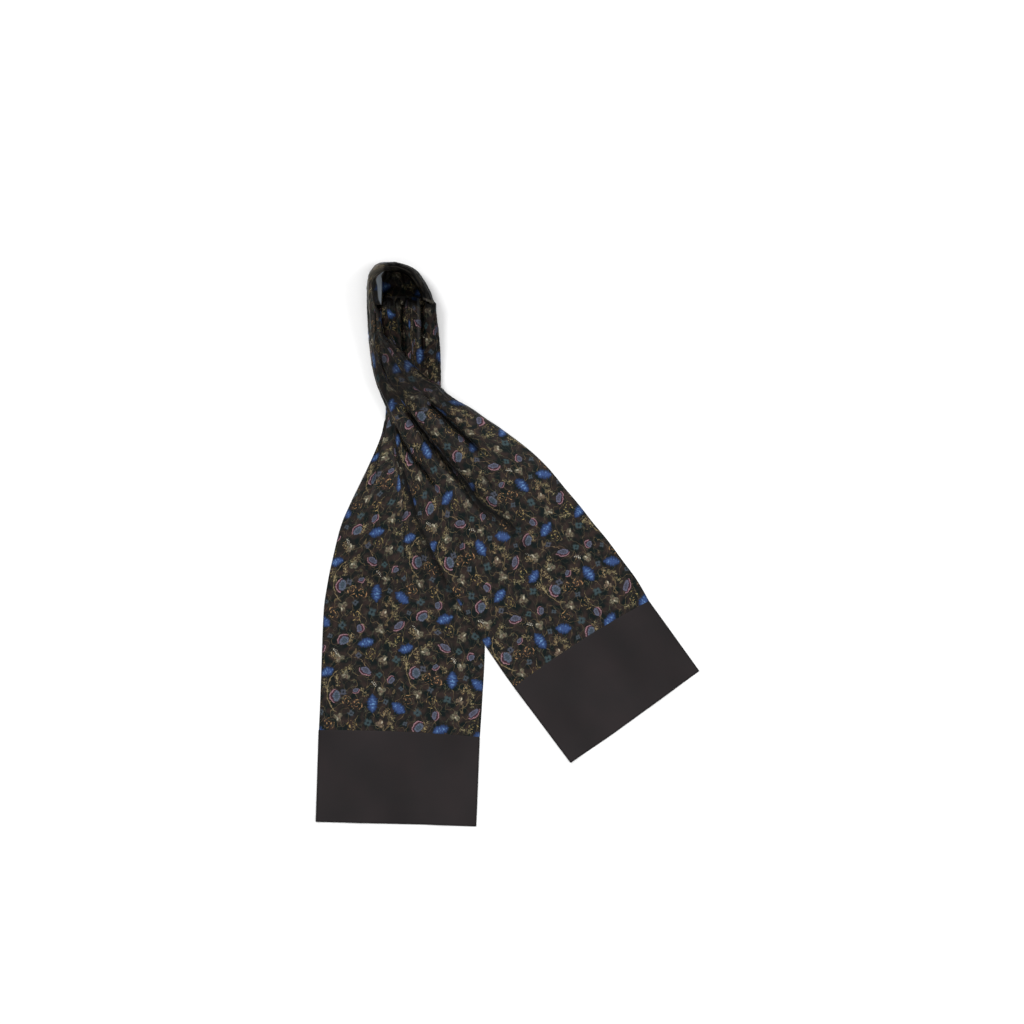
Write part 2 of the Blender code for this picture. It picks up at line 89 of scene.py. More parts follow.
def smooth_through(knots, values, places):
    """Values at places of a smooth curve through the knots, which doesn't overshoot between them."""
    knots, values, places = (np.asarray(given, float) for given in (knots, values, places))
    places = np.clip(places, knots[0], knots[-1])
    widths = np.diff(knots)
    rates = np.diff(values) / widths
    slopes = np.zeros_like(values)
    slopes[0] = rates[0]
    slopes[-1] = rates[-1]
    same_way = rates[:-1] * rates[1:] > 0
    before = rates[:-1][same_way]
    after = rates[1:][same_way]
    slopes[1:-1][same_way] = 2 * before * after / (before + after)
    span = np.clip(np.searchsorted(knots, places, side="right") - 1, 0, len(widths) - 1)
    share = (places - knots[span]) / widths[span]
    start = (1 + 2 * share) * (1 - share) ** 2 * values[span]
    leave = share * (1 - share) ** 2 * slopes[span] * widths[span]
    end = share**2 * (3 - 2 * share) * values[span + 1]
    arrive = share**2 * (share - 1) * slopes[span + 1] * widths[span]
    return start + leave + end + arrive


def ease(share):
    """A soft step from 0, where the share is 0 or less, to 1."""
    share = np.clip(share, 0, 1)
    return share * share * (3 - 2 * share)


def ramp(value, start, full):
    """A soft step from 0, where the value is at the start, to 1 where it is full."""
    return ease((value - start) / (full - start))


def hill(place, height, middle, half_width):
    return height * np.exp(-(((place - middle) / half_width) ** 2))


def between(first, second, share):
    return first * (1 - share) + second * share


def smooth_max(first, second, blend):
    share = np.clip(0.5 + 0.5 * (first - second) / blend, 0, 1)
    return between(second, first, share) + blend * share * (1 - share)


def stacked(*parts):
    """The parts, which may be numbers too, as the last axis of one grid."""
    return np.stack(np.broadcast_arrays(*parts), axis=-1)


def unit(vectors):
    return vectors / np.maximum(np.linalg.norm(vectors, axis=-1, keepdims=True), 1e-9)


def rounded(across, square):
    """Height share of a rounded section: 0 at both edges (-1 and 1) and 1 in the middle."""
    return np.clip(1 - np.abs(across) ** square, 0, 1) ** (1 / square)


def even_across(count, square, crowding):
    """Places across a section, from -1 to 1, which crowd towards its edges where it is rounded."""
    turn = np.linspace(0, 1, count)[None, :]
    angle = math.pi * turn
    on_curve = -np.sign(np.cos(angle)) * np.abs(np.cos(angle)) ** (2 / square)
    return crowding * on_curve + (1 - crowding) * (2 * turn - 1)


def value_noise(across, along, seed):
    """Smooth noise from -1 to 1 over two coordinates, one lump per unit."""
    table = np.random.default_rng(seed).uniform(-1, 1, (NOISE_CELLS, NOISE_CELLS))
    across, along = np.broadcast_arrays(across, along)
    cell_a, cell_b = np.floor(across).astype(int), np.floor(along).astype(int)
    share_a, share_b = ease(across - cell_a), ease(along - cell_b)
    total = 0
    for step_a, weight_a in ((0, 1 - share_a), (1, share_a)):
        for step_b, weight_b in ((0, 1 - share_b), (1, share_b)):
            found = table[(cell_a + step_a) % NOISE_CELLS, (cell_b + step_b) % NOISE_CELLS]
            total = total + found * weight_a * weight_b
    return total


# The rear layer from the seam of its panel up to the neck's lip, each row straight across at its Y: left and
# right edge, height of the cloth in the middle, and how square the section is.
ROW_Y, LEFT_EDGE, RIGHT_EDGE, HEIGHT, REAR_SQUARE = range(5)
REAR_ROWS = np.array([
    (-304, -294.7, -43.8, 2, 2),
    (-244, -292, -40, 2, 2),
    (-160, -289, -36, 2, 2),
    (-103, -286.5, -37, 2.6, 2),
    (-60, -280.5, -40, 3.2, 2),
    (-22, -272.5, -44.5, 4, 2),
    (28, -260, -55.5, 5, 2),
    (65, -244.5, -66.5, 6, 2),
    (103, -226, -79, 7.5, 2),
    (140, -208.5, -91.5, 9.5, 2),
    (178, -194.5, -101, 11.5, 2.2),
    (203, -190.5, -104, 13.5, 2.4),
    (228, -189.8, -104, 16, 2.6),
    (253, -189, -104, 18.5, 2.8),
    (278, -189, -104.5, 22, 3),
    (303, -189, -105.5, 27, 3),
    (328, -190.5, -107.5, 32, 3.2),
    (353, -194.2, -110, 36, 3.4),
    (375, -201, -113, 38, 3.4),
])
# Both ends of the rear panel's seam and hem, the seam's bow, and the Y where rows start to lean towards it.
REAR_SEAM = ((-294.7, -290.6), (-43.8, -301.6))
REAR_HEM = ((-299.2, -434.4), (-49.2, -440.6))
REAR_SEAM_BOW = 3
REAR_LEAN_FROM_Y = -110
# Where the tail ends under the crossing, and how far the front layer drapes off it below and above that.
UNDER_TO_TAIL_Y = 214
DRAPE_OFF_TAIL = 16
DRAPE_OFF_NECK = 4
# The lip that bends down into the hollow: its start, radius and angle, and where it ends at the right leg.
LIP_START_Y = 360
LIP_CURVE = 31
LIP_BEND = 1.05
LIP_ENDS_X = (-134, -124)
# How far the rear layer's edges move under the left leg and the turn, and where that sets in.
UNDER_LEG = 8
UNDER_LEG_Y = (222, 234)
UNDER_TURN_INWARD = 12
UNDER_TURN_DOWN = 5
UNDER_TURN_X = (-136, -116)
UNDER_TURN_Y = (374, 386)
# Y between which its sections grow round.
REAR_CROWDING = (60, 220)

# The front layer from the seam of its panel up the neck's left leg and round the back of the neck: both ends
# of each station, the height of its crown above the floor, and how square the section is.
LEFT_X, LEFT_Y, RIGHT_X, RIGHT_Y, CROWN, FRONT_SQUARE = range(6)
FRONT_ROWS = np.array([
    (10.2, -223.4, 220.5, -89.1, 2, 2),
    (-8.6, -196.9, 201.5, -56.2, 2, 2),
    (-36.7, -154.7, 177.3, -23.4, 2.3, 2),
    (-57, -121.9, 155.5, 6.2, 3, 2),
    (-75.8, -92.2, 132.3, 34.4, 4.5, 2),
    (-92, -62.5, 111.7, 61, 6.5, 2),
    (-107, -31.2, 89.4, 87.5, 9, 2),
    (-123, 3.1, 66.4, 115.6, 12, 2),
    (-136, 31.2, 41.4, 140.6, 15.5, 2),
    (-144.5, 60, 16.4, 160.9, 18.5, 2),
    (-152.5, 88, -11.7, 181.2, 21.5, 2.1),
    (-162, 119, -35.2, 198.4, 24, 2.2),
    (-171, 150, -60.2, 215.6, 26, 2.3),
    (-178.5, 178, -80.5, 228.1, 28, 2.4),
    (-186, 200, -94.5, 237.5, 29, 2.4),
    (-193, 218.8, -104.5, 246.9, 30, 2.4),
    (-200.8, 237.5, -124.2, 257.8, 31, 2.5),
    (-207, 256.2, -144.5, 276.6, 32.5, 2.6),
    (-211.7, 278.1, -163.3, 298.4, 34.5, 2.7),
    (-214.8, 303.1, -181, 317.2, 37, 2.8),
    (-217.2, 328.1, -192.5, 332.8, 40, 3),
    (-218.8, 353.1, -195.6, 353.1, 43, 3),
    (-219.5, 375, -203.6, 375, 45, 3),
    (-219.5, 396.9, -206.4, 395, 46.5, 2.9),
    (-218, 417, -206.8, 408.5, 48, 2.8),
    (-210.5, 432, -198.5, 419.5, 49, 2.6),
    (-196, 440, -186, 425, 49, 2.4),
    (-178.9, 440.6, -173.5, 424.5, 48.5, 2.4),
    (-160.2, 436.5, -161.5, 420.5, 47.5, 2.4),
    (-143, 428, -151.5, 412, 45.5, 2.4),
    (-130.5, 412.5, -144.5, 401.5, 43, 2.4),
    (-120.5, 395.3, -138, 389.5, 40, 2.4),
    (-113, 375.3, -132, 375.3, 38.5, 2.6),
])
FRONT_SEAM = ((10.2, -223.4), (220.5, -89.1))
FRONT_HEM = ((99.2, -342.2), (299.2, -198.4))
FRONT_SEAM_BOW = 5
FRONT_BOW_STATIONS = 2
# Stations where the neck starts, where it leaves the rear layer, of the turn's top fold, and of the end, and
# how far the end is drawn back on a slant and from where.
NECK_START = 15
OFF_REAR = (21, 22.5)
TOP_FOLD_STATION = 26.35
FRONT_END = 32
TURN_END_SLANT = 0.4
TURN_END_FROM = 29
# Stations between which the sections grow round.
FRONT_CROWDING = (8, 16)

# Valleys that more than one table names, each from the neck outwards.
MAIN_VALLEY = [(-164, 221), (-149, 202), (-99, 139), (-59, 87), (4, 34), (30, 2)]
UPPER_VALLEY = [(-138, 240), (-121, 222), (-102, 205), (-65, 170), (-28, 134)]
LOWER_VALLEY = [(-180, 197), (-159, 155), (-146, 134), (-129, 116), (-113, 92), (-90, 60)]
REAR_OUTER_VALLEY = [(-186, 196), (-196, 160), (-206, 110), (-218, 60)]
REAR_INNER_VALLEY = [(-178, 186), (-176, 140), (-164, 80), (-160, 20), (-159, -40)]

# Folds of each layer: depth, half width on the steep left and on the gentle right, the shares of their length
# over which they set in and fade out, and their line.
FOLDS = {
    "front": [
        (17, 4.5, 11, 0.18, 0.4, MAIN_VALLEY),
        (12, 4, 9, 0.2, 0.4, UPPER_VALLEY),
        (10, 4, 8, 0.2, 0.45, LOWER_VALLEY),
        (5, 2.5, 5, 0.15, 0.3, [(-210, 376), (-208, 345), (-201, 300), (-186, 258), (-162, 224)]),
        (4, 2.5, 5, 0.25, 0.35, [(-199, 335), (-192, 302), (-172, 270), (-146, 246), (-124, 226)]),
        (2.5, 5, 9, 0.4, 0.4, [(-24, 75), (4, 98), (36, 124)]),
        (4, 6, 11, 0.3, 0.5, [(-80, 22), (-74, -5), (-60, -40)]),
        (3, 7, 13, 0.4, 0.5, [(28, 32), (66, -10), (92, -42)]),
    ],
    "rear": [
        (4, 4.5, 7, 0.15, 0.5, REAR_OUTER_VALLEY),
        (4, 3.5, 6, 0.2, 0.5, REAR_INNER_VALLEY),
        (2.5, 6, 10, 0.3, 0.5, [(-140, 20), (-132, -30), (-127, -90)]),
        (5, 2.5, 4, 0.02, 0.1, [(-163, 376), (-162, 311), (-160, 244), (-160, 214)]),
        (6, 2.5, 5, 0.02, 0.1, [(-133, 376), (-130, 311), (-128, 250), (-128, 214)]),
        (3, 2.5, 4, 0.1, 0.2, [(-177, 370), (-175, 330), (-172, 280)]),
    ],
}
SAMPLES_PER_SPAN = 10
# How wide folds and creases start, as a share, and how much wider they grow to their end.
FOLD_WIDENS = (0.75, 1)
CREASE_WIDENS = (0.9, 0.5)
# How blunt the sections of folds and creases and the shade of creases are.
FOLD_POWER = 1.5
CREASE_POWER = 1.4
SHADE_POWER = 1.6

LONG_CREASE = [
    (-158, 214), (-138, 186), (-112, 153), (-94, 130), (-76, 111), (-59, 89), (-42, 64), (-2, 37), (24, 12),
]
SHORT_CREASE = [(-122, 221), (-102, 203), (-77, 179), (-54, 158), (-34, 138)]
LAYER_EDGE = [
    (-180, 190), (-173, 150), (-164.5, 119), (-155, 88), (-147, 60), (-138.5, 31), (-126, 3), (-110, -31),
    (-95.5, -62), (-79, -92), (-62, -125),
]

# Creases where the cloth rolls over itself: depth, half widths, how far the left lip leans over, the shares
# to set in and fade out, the shade in them, and their line.
CREASES = {
    "front": [
        (15, 3.2, 6.2, 2.4, 0.08, 0.08, 0.97, LONG_CREASE),
        (10, 2.6, 4.8, 1.8, 0.08, 0.22, 0.93, SHORT_CREASE),
        (9, 2.4, 4.2, 1.6, 0.1, 0.4, 0.88, LOWER_VALLEY),
        (4, 2.4, 4.5, 1, 0.3, 0.6, 0.7, [(-40, 112), (-18, 81)]),
        (4, 1.2, 1.6, 0.8, 0.1, 0.2, 0.8, [(-206, 418), (-204, 330), (-194, 280), (-180, 244)]),
    ],
    "rear": [
        (3.5, 2.2, 4, 1, 0.1, 0.5, 0.7, REAR_OUTER_VALLEY),
        (3, 1.2, 1.8, 0.6, 0.1, 0.4, 0.8, [(-162, 60), (-161, 0), (-160, -38)]),
        (5, 1.4, 1.6, 0.8, 0.02, 0.15, 0.85, [(-164, 386), (-163, 311), (-162, 300)]),
        (6, 1.2, 1.6, 1, 0.04, 0.12, 0.9, [(-132.8, 368), (-132.8, 330), (-132.4, 300)]),
    ],
}

# Soft shade with no crease: shade, half width and line. It sets in and fades out over this share.
SOFT_SHADE_ENDS = 0.3
SOFT_SHADES = {
    "front": [
        (0.45, 13, LONG_CREASE),
        (0.35, 9, SHORT_CREASE),
        (0.6, 7, [(18, 16), (26, -6), (29, -28)]),
        (0.35, 8, [(66, -10), (82, -28), (94, -42)]),
        (0.3, 8, [(66, 109), (78, 95), (92, 76)]),
        (0.4, 6, [(-80, 40), (-75, 0), (-62, -44)]),
        (0.3, 5, [(-18, 81), (8, 92), (34, 116)]),
    ],
    "rear": [
        (0.92, 4, LAYER_EDGE),
        (0.35, 9, LAYER_EDGE),
        (0.35, 4, [(-108, -38), (-77, -97), (-58, -125), (-43, -153)]),
        (0.45, 7, [(-140, 10), (-136, -20), (-127, -90)]),
        (0.4, 6, [(-92, -75), (-95, -90), (-98, -106)]),
        (0.18, 26, [(-238, 20), (-208, -46), (-170, -118)]),
        (0.35, 5, [(-200, -144), (-192, -150), (-184, -156)]),
        (0.75, 5, [(-134, 388), (-125, 377), (-112, 369)]),
        (0.55, 6.5, [(-123, 396), (-123, 376), (-124, 356), (-125, 326)]),
    ],
}

# The widths that folds hide: their line, the share of the hidden width, and how many columns it spreads to.
FRONT_HIDDEN = [(LOWER_VALLEY, 0.3, 4), (MAIN_VALLEY, 0.42, 6), (UPPER_VALLEY, 0.28, 5)]
REAR_HIDDEN = [
    (REAR_OUTER_VALLEY, 0.15, 4), (REAR_INNER_VALLEY, 0.2, 4),
    ([(-150, 375), (-140, 214), (-118, 120), (-96, 40), (-80, -60)], 0.65, 8),
]
HIDDEN_STARTS_WIDE = 0.8
HIDDEN_FADES_OVER = 0.6
VALLEY_WIDTH = 0.12
VALLEY_LEAST = 0.03
ALONG_SMOOTHING = 15


def up_the_tail(seam, hem):
    """Direction from the middle of a hem to the middle of the seam."""
    along = (np.add(*seam) - np.add(*hem)) / 2
    return along / np.linalg.norm(along)


# Each layer's number of pleats and how far these wander, the stations or Y between which its gathers set in
# and its flat hems fade out, the widths that folds hide, the way up the tail, the corner where the seam
# starts, the place of one flower of the print from there, and the seed.
Layer = namedtuple("Layer", "name pleats wander gathers hems_end hidden up corner flower seed")
FRONT_UP = up_the_tail(FRONT_SEAM, FRONT_HEM)
REAR_UP = up_the_tail(REAR_SEAM, REAR_HEM)
FRONT = Layer("front", 11, 5.5, (8, 15), (6, 10), FRONT_HIDDEN, FRONT_UP, FRONT_SEAM[0], (74.2, 33.4), 11)
REAR = Layer("rear", 10, 5, (60, 210), (20, 80), REAR_HIDDEN, REAR_UP, REAR_SEAM[0], (80.6, 44.2), 31)


def rear_at(column, y):
    return smooth_through(REAR_ROWS[:, ROW_Y], REAR_ROWS[:, column], y)


def front_at(column, station):
    return smooth_through(np.arange(len(FRONT_ROWS)), FRONT_ROWS[:, column], station)


def fold_line(points):
    """X and Y of close steps along a smooth line through the points."""
    knots = np.arange(len(points))
    places = np.linspace(0, len(points) - 1, (len(points) - 1) * SAMPLES_PER_SPAN + 1)
    points = np.array(points, float)
    return smooth_through(knots, points[:, 0], places), smooth_through(knots, points[:, 1], places)


def beside_line(points, x, y):
    """For each place: how far left of the line it is, its share of the way along, and the heading there."""
    line_x, line_y = fold_line(points)
    nearest = np.argmin((x[..., None] - line_x) ** 2 + (y[..., None] - line_y) ** 2, axis=-1)
    heading_x, heading_y = np.gradient(line_x)[nearest], np.gradient(line_y)[nearest]
    heading = np.hypot(heading_x, heading_y)
    away_x, away_y = x - line_x[nearest], y - line_y[nearest]
    left = (heading_x * away_y - heading_y * away_x) / heading
    ahead = (heading_x * away_x + heading_y * away_y) / heading**2
    along = np.clip((nearest + ahead) / (len(line_x) - 1), 0, 1)
    return left, along, heading_x / heading, heading_y / heading


def set_in_and_out(along, set_in, fade_out):
    return ease(along / set_in) * ease((1 - along) / fade_out)


def beside_fold(points, x, y, left_width, right_width, widens, set_in, fade_out):
    """How far left of a fold each place is, how far it has set in there, its half width, and its heading."""
    left, along, heading_x, heading_y = beside_line(points, x, y)
    width = np.where(left > 0, left_width, right_width) * (widens[0] + widens[1] * along)
    return left, set_in_and_out(along, set_in, fade_out), width, heading_x, heading_y


def notch(left, half_width, power):
    """A section that is 1 on its line and falls to 0 on both sides."""
    return np.exp(-((np.abs(left) / half_width) ** power))


def troughs(layer, x, y):
    total = 0
    for depth, steep, gentle, set_in, fade_out, points in FOLDS[layer]:
        left, share, width, _, _ = beside_fold(points, x, y, steep, gentle, FOLD_WIDENS, set_in, fade_out)
        total = total + depth * share * notch(left, width, FOLD_POWER)
    return total


def crease_depth(layer, x, y):
    deepest = np.zeros_like(x)
    for depth, steep, gentle, _, set_in, fade_out, _, points in CREASES[layer]:
        left, share, width, _, _ = beside_fold(points, x, y, steep, gentle, CREASE_WIDENS, set_in, fade_out)
        deepest = np.maximum(deepest, depth * share * notch(left, width, CREASE_POWER))
    return deepest


def lean_over_creases(layer, grid):
    """Moves the lip at the left of each crease over it, and gives the light that the creases leave."""
    grid = grid.copy()
    x, y = grid[..., 0], grid[..., 1]
    light = np.ones(x.shape)
    for _, steep, gentle, lean, set_in, fade_out, shade, points in CREASES[layer]:
        left, share, width, heading_x, heading_y = beside_fold(
            points, x, y, steep, gentle, CREASE_WIDENS, set_in, fade_out
        )
        light *= 1 - shade * share * notch(left, width, SHADE_POWER)
        lip = share * hill(left, lean, 1.3 * steep, steep)
        x += heading_y * lip
        y -= heading_x * lip
        grid[..., 2] += 0.5 * lip
    for shade, half_width, points in SOFT_SHADES[layer]:
        left, along, _, _ = beside_line(points, x, y)
        share = set_in_and_out(along, SOFT_SHADE_ENDS, SOFT_SHADE_ENDS)
        light *= 1 - share * hill(left, shade, 0, half_width)
    return grid, light


def rear_mound(x, y):
    """Top of the rear layer without its folds."""
    left, right = rear_at(LEFT_EDGE, y), rear_at(RIGHT_EDGE, y)
    across = np.clip((2 * x - left - right) / (right - left), -1, 1)
    return LYING + (rear_at(HEIGHT, y) - 2) * rounded(across, rear_at(REAR_SQUARE, y))


def support_at(x, y):
    outside = np.maximum(rear_at(LEFT_EDGE, y) - x, x - rear_at(RIGHT_EDGE, y))
    reach = np.where(y > UNDER_TO_TAIL_Y, DRAPE_OFF_NECK, DRAPE_OFF_TAIL)
    return np.where(outside > 0, LYING * (1 - ease(outside / reach)), rear_mound(x, y))


def support(x, y):
    """What the front layer lies on: the rear layer, or the floor beside it."""
    found = support_at(x, y)
    for step_x, step_y in ((1.5, 0), (-1.5, 0), (0, 1.5), (0, -1.5)):
        found = np.maximum(found, support_at(x + step_x, y + step_y))
    return np.maximum(found - 0.85 * crease_depth("front", x, y), np.minimum(found, LYING))


def normals_of(grid):
    return unit(np.cross(np.gradient(grid, axis=1), np.gradient(grid, axis=0)))


def lengths(grid, axis):
    """Length along the surface from its first row or column."""
    steps = np.linalg.norm(np.diff(grid, axis=axis), axis=-1)
    return np.insert(np.cumsum(steps, axis=axis), 0, 0, axis=axis)


def across_and_width(grid):
    across = lengths(grid, 1)
    return across, across[:, -1:]


def smoothed(values, reach):
    """The values smoothed across the columns."""
    kernel = np.exp(-np.linspace(-2, 2, 2 * reach + 1) ** 2)
    kernel /= kernel.sum()
    padded = np.pad(values, ((0, 0), (reach, reach)), mode="edge")
    return np.stack([np.convolve(row, kernel, mode="valid") for row in padded])


def pleats(layer, rows, columns):
    """Distance from the nearest lengthwise pleat's valley, from 0 in a valley to 1 on a ridge."""
    share = np.linspace(0, 1, columns)[None, :]
    along = np.linspace(0, layer.wander, rows)[:, None]
    return np.abs(value_noise(share * layer.pleats, along, layer.seed + 2)) ** 0.7


def cloth_places(layer, grid, pleated, gathered):
    """Where each point lies on the uncut cloth, across and along it from one flower of the print. The width
    that folds and pleats hide is left out in their valleys."""
    across, width = across_and_width(grid)
    columns = np.arange(grid.shape[1])[None, :]
    tucked = np.zeros(grid.shape[:2])
    left_over = np.ones((grid.shape[0], 1))
    for points, share, spread in layer.hidden:
        line_x, line_y = fold_line(points)
        gap = np.hypot(grid[..., 0, None] - line_x, grid[..., 1, None] - line_y)
        crossing = np.argmin(gap.min(axis=2), axis=1)
        along = np.argmin(gap.min(axis=1), axis=1) / (len(line_x) - 1)
        if (along == 0).any():
            first = int(np.argmax(along == 0))
            crossing[first:] = crossing[first]
        keep = share * ease((1 - along) / HIDDEN_FADES_OVER)[:, None]
        reach = HIDDEN_STARTS_WIDE + spread * ease(along)[:, None]
        tucked += keep / (2 * reach * np.cosh((columns - crossing[:, None]) / reach) ** 2)
        left_over -= keep
    valleys = hill(pleated, 1, 0, VALLEY_WIDTH) + VALLEY_LEAST
    valleys /= valleys.sum(axis=1, keepdims=True)
    even = np.ones_like(valleys) / grid.shape[1]
    tucked += np.clip(left_over, 0, 1) * (even * (1 - gathered) + valleys * gathered)
    across = across + (CLOTH_WIDTH - width) * np.cumsum(tucked, axis=1)
    start = (grid[0, :, :2] - layer.corner) @ layer.up
    along = smoothed(lengths(grid, 0), ALONG_SMOOTHING) + start
    return stacked(across - layer.flower[0], along - layer.flower[1], 0)


def put(name, data):
    """A new object in the scene."""
    made = bpy.data.objects.new(name, data)
    bpy.context.scene.collection.objects.link(made)
    return made


def shell(name, grid, normal, cloth, light, material):
    """A thin closed shell of cloth below the grid's surface, with rounded edges."""
    rows, columns = grid.shape[:2]
    count = rows * columns
    lower = grid - normal * CLOTH
    lower[..., 2] = np.maximum(lower[..., 2], LOWER_LEAST)
    index = np.arange(count).reshape(rows, columns)
    edge = np.concatenate([index[0, :-1], index[:-1, -1], index[-1, :0:-1], index[:0:-1, 0]])
    inner_row = np.clip(edge // columns, 1, rows - 2)
    inner_column = np.clip(edge % columns, 1, columns - 2)
    flat_grid = grid.reshape(-1, 3)
    flat_lower = lower.reshape(-1, 3)
    outward = unit(flat_grid[edge] - grid[inner_row, inner_column])
    middle = (flat_grid[edge] + flat_lower[edge]) / 2 + outward * RIM_ROUND
    middle[:, 2] = np.maximum(middle[:, 2], RIM_LEAST)
    upper_faces = stacked(index[:-1, :-1], index[:-1, 1:], index[1:, 1:], index[1:, :-1]).reshape(-1, 4)
    faces = [upper_faces, upper_faces[:, ::-1] + count]
    ring = np.arange(len(edge)) + 2 * count
    for low, high in ((edge + count, ring), (ring, edge)):
        faces.append(stacked(low, np.roll(low, -1), np.roll(high, -1), high))
    points = np.concatenate([flat_grid, flat_lower, middle]) * MILLIMETRE
    mesh = bpy.data.meshes.new(name)
    mesh.from_pydata(points.tolist(), [], np.concatenate(faces).tolist())
    mesh.update()
    for kind, values, scale in (("cloth", cloth, MILLIMETRE), ("light", light, 1)):
        flat = values.reshape(-1, 3)
        values = np.concatenate([flat, flat, flat[edge]]) * scale
        attribute = mesh.attributes.new(kind, "FLOAT_VECTOR", "POINT")
        attribute.data.foreach_set("vector", values.astype(np.float32).ravel())
    mesh.shade_smooth()
    flat_normal = normal.reshape(-1, 3)
    normals = np.concatenate([flat_normal, -flat_normal, outward])
    mesh.normals_split_custom_set_from_vertices(normals.tolist())
    mesh.materials.append(material)
    return put(name, mesh)


# The print of the cloth, and the shaders that draw it.


def srgb(red, green, blue):
    """A colour given in 0 to 255 as the linear colour that a shader takes."""
    out = []
    for value in (red, green, blue):
        value = value / 255
        out.append(value / 12.92 if value <= 0.04045 else ((value + 0.055) / 1.055) ** 2.4)
    return (*out, 1)


def add_node(tree, kind, inputs, output=0, **settings):
    """Adds a node whose inputs are linked or set, and gives one of its outputs as a Value."""
    made = tree.nodes.new(kind)
    for name, setting in settings.items():
        setattr(made, name, setting)
    for place, value in inputs:
        if isinstance(value, Value):
            tree.links.new(value.socket, made.inputs[place])
        else:
            made.inputs[place].default_value = value
    return Value(tree, made.outputs[output])


def math_node(operation, swapped=False):
    """A method of Value that adds a math node."""

    def method(value, *others):
        places = (*others, value) if swapped else (value, *others)
        return add_node(value.tree, "ShaderNodeMath", enumerate(places), operation=operation)

    return method


class Value:
    """What leaves a node. Formulas of it add the nodes that work them out."""

    def __init__(self, tree, socket):
        self.tree = tree
        self.socket = socket

    __add__ = math_node("ADD")
    __sub__ = math_node("SUBTRACT")
    __rsub__ = math_node("SUBTRACT", swapped=True)
    __mul__ = math_node("MULTIPLY")
    __rmul__ = math_node("MULTIPLY")
    __truediv__ = math_node("DIVIDE")
    __pow__ = math_node("POWER")
    __abs__ = math_node("ABSOLUTE")
    __lt__ = math_node("LESS_THAN")
    __gt__ = math_node("GREATER_THAN")
    sine = math_node("SINE")
    cosine = math_node("COSINE")
    arctan2 = math_node("ARCTAN2")
    fraction = math_node("FRACT")
    least = math_node("MINIMUM")
    most = math_node("MAXIMUM")

    def clamped(self):
        return add_node(self.tree, "ShaderNodeClamp", [(0, self)])


def vector(operation, first, *others):
    output = "Value" if operation in ("DOT_PRODUCT", "LENGTH") else "Vector"
    inputs = enumerate((first, *others))
    return add_node(first.tree, "ShaderNodeVectorMath", inputs, output, operation=operation)


def scaled(first, factor):
    inputs = [(0, first), ("Scale", factor)]
    return add_node(first.tree, "ShaderNodeVectorMath", inputs, operation="SCALE")


def join(x, y, z=0):
    return add_node(x.tree, "ShaderNodeCombineXYZ", enumerate((x, y, z)))


def split(place):
    parts = add_node(place.tree, "ShaderNodeSeparateXYZ", [(0, place)]).socket.node.outputs
    return [Value(place.tree, part) for part in parts]


def mix(factor, first, second):
    return add_node(factor.tree, "ShaderNodeMix", [(0, factor), (6, first), (7, second)], 2, data_type="RGBA")


def noise(place, scale, detail=2, output=0):
    inputs = [("Vector", place), ("Scale", scale), ("Detail", detail)]
    return add_node(place.tree, "ShaderNodeTexNoise", inputs, output)


def attribute(tree, name):
    return add_node(tree, "ShaderNodeAttribute", [], "Vector", attribute_name=name)


def distance(x, y):
    return vector("LENGTH", join(x, y))


def polar(x, y):
    return distance(x, y), y.arctan2(x)


def wave(value, times, shift=0):
    return (value * times + shift).cosine()


def stripes(value, times):
    """Soft stripes from 0 to 1."""
    return wave(value, times) * 0.5 + 0.5


def inside(edge, value, sharpness):
    """1 where the value is well below the edge, and a soft step to 0 at the edge."""
    return ((edge - value) * sharpness).clamped()


def line(value, half_width):
    return abs(value) < half_width


# The repeat of the print, charted in millimetres of cloth: its two steps, and for each kind of motif
# the place across and along, the turn in degrees, half its length, and its tint.
REPEAT_ACROSS = (121.6, 40.5)
REPEAT_ALONG = 173
BLUE_FLOWERS = [
    (0, 0, 92, 15.5, 0.5), (40.5, -6, -38, 14.5, 0.3), (-13.5, 95, 17, 14.5, 0.6),
    (48.5, 87.5, 22, 13.5, 0.4),
]
CRESCENT_FLOWERS = [
    (73, 138.5, 45, 11.5, 0.7), (36.5, 122.5, -140, 12, 0.1), (-13, 50.5, 150, 12, 0.2),
    (64, 50.5, 90, 12, 0.8), (27.5, 37.5, 50, 7.5, 0.3), (-26.5, 20, 200, 6.5, 0.3),
    (-23.5, 117, -100, 8, 0.3),
]
FOUR_PETALS = [
    (33.5, 70, 10, 7.5, 0.9), (8.5, 45, 0, 6, 1), (20.5, 3.5, 20, 5.5, 0.5), (-32.5, -16, 15, 6, 0.4),
    (-5.5, -30, 30, 8, 0.9), (-46, 16.5, 40, 6.5, 0.1), (-24.5, 74.5, 0, 6, 0.1), (52, -29.5, 25, 5, 0.4),
    (-51, 120.5, 10, 7.5, 0.8), (43, 24.5, 0, 5, 0.5),
]
BLOSSOMS = [
    (-54, 70, 30, 9, 0.3), (14, 68.5, -40, 9, 0.4), (79, 83, 100, 8.5, 0.1), (13, 21, 45, 8.5, 0.2),
    (69.5, 17.5, 180, 9, 0.3), (13.5, -31, -30, 8, 0.9), (8, 117, -140, 9.5, 0.2),
]
CURLS = [
    (-29.5, 137, 0, 9.5, 0.3), (-7, 79, 120, 9, 0.1), (-23.5, -1, 60, 9.5, 0.9), (54.5, 7, 200, 9.5, 0.7),
    (38, 103, 300, 9, 0.1), (81, 44, 150, 8.5, 0.8),
]
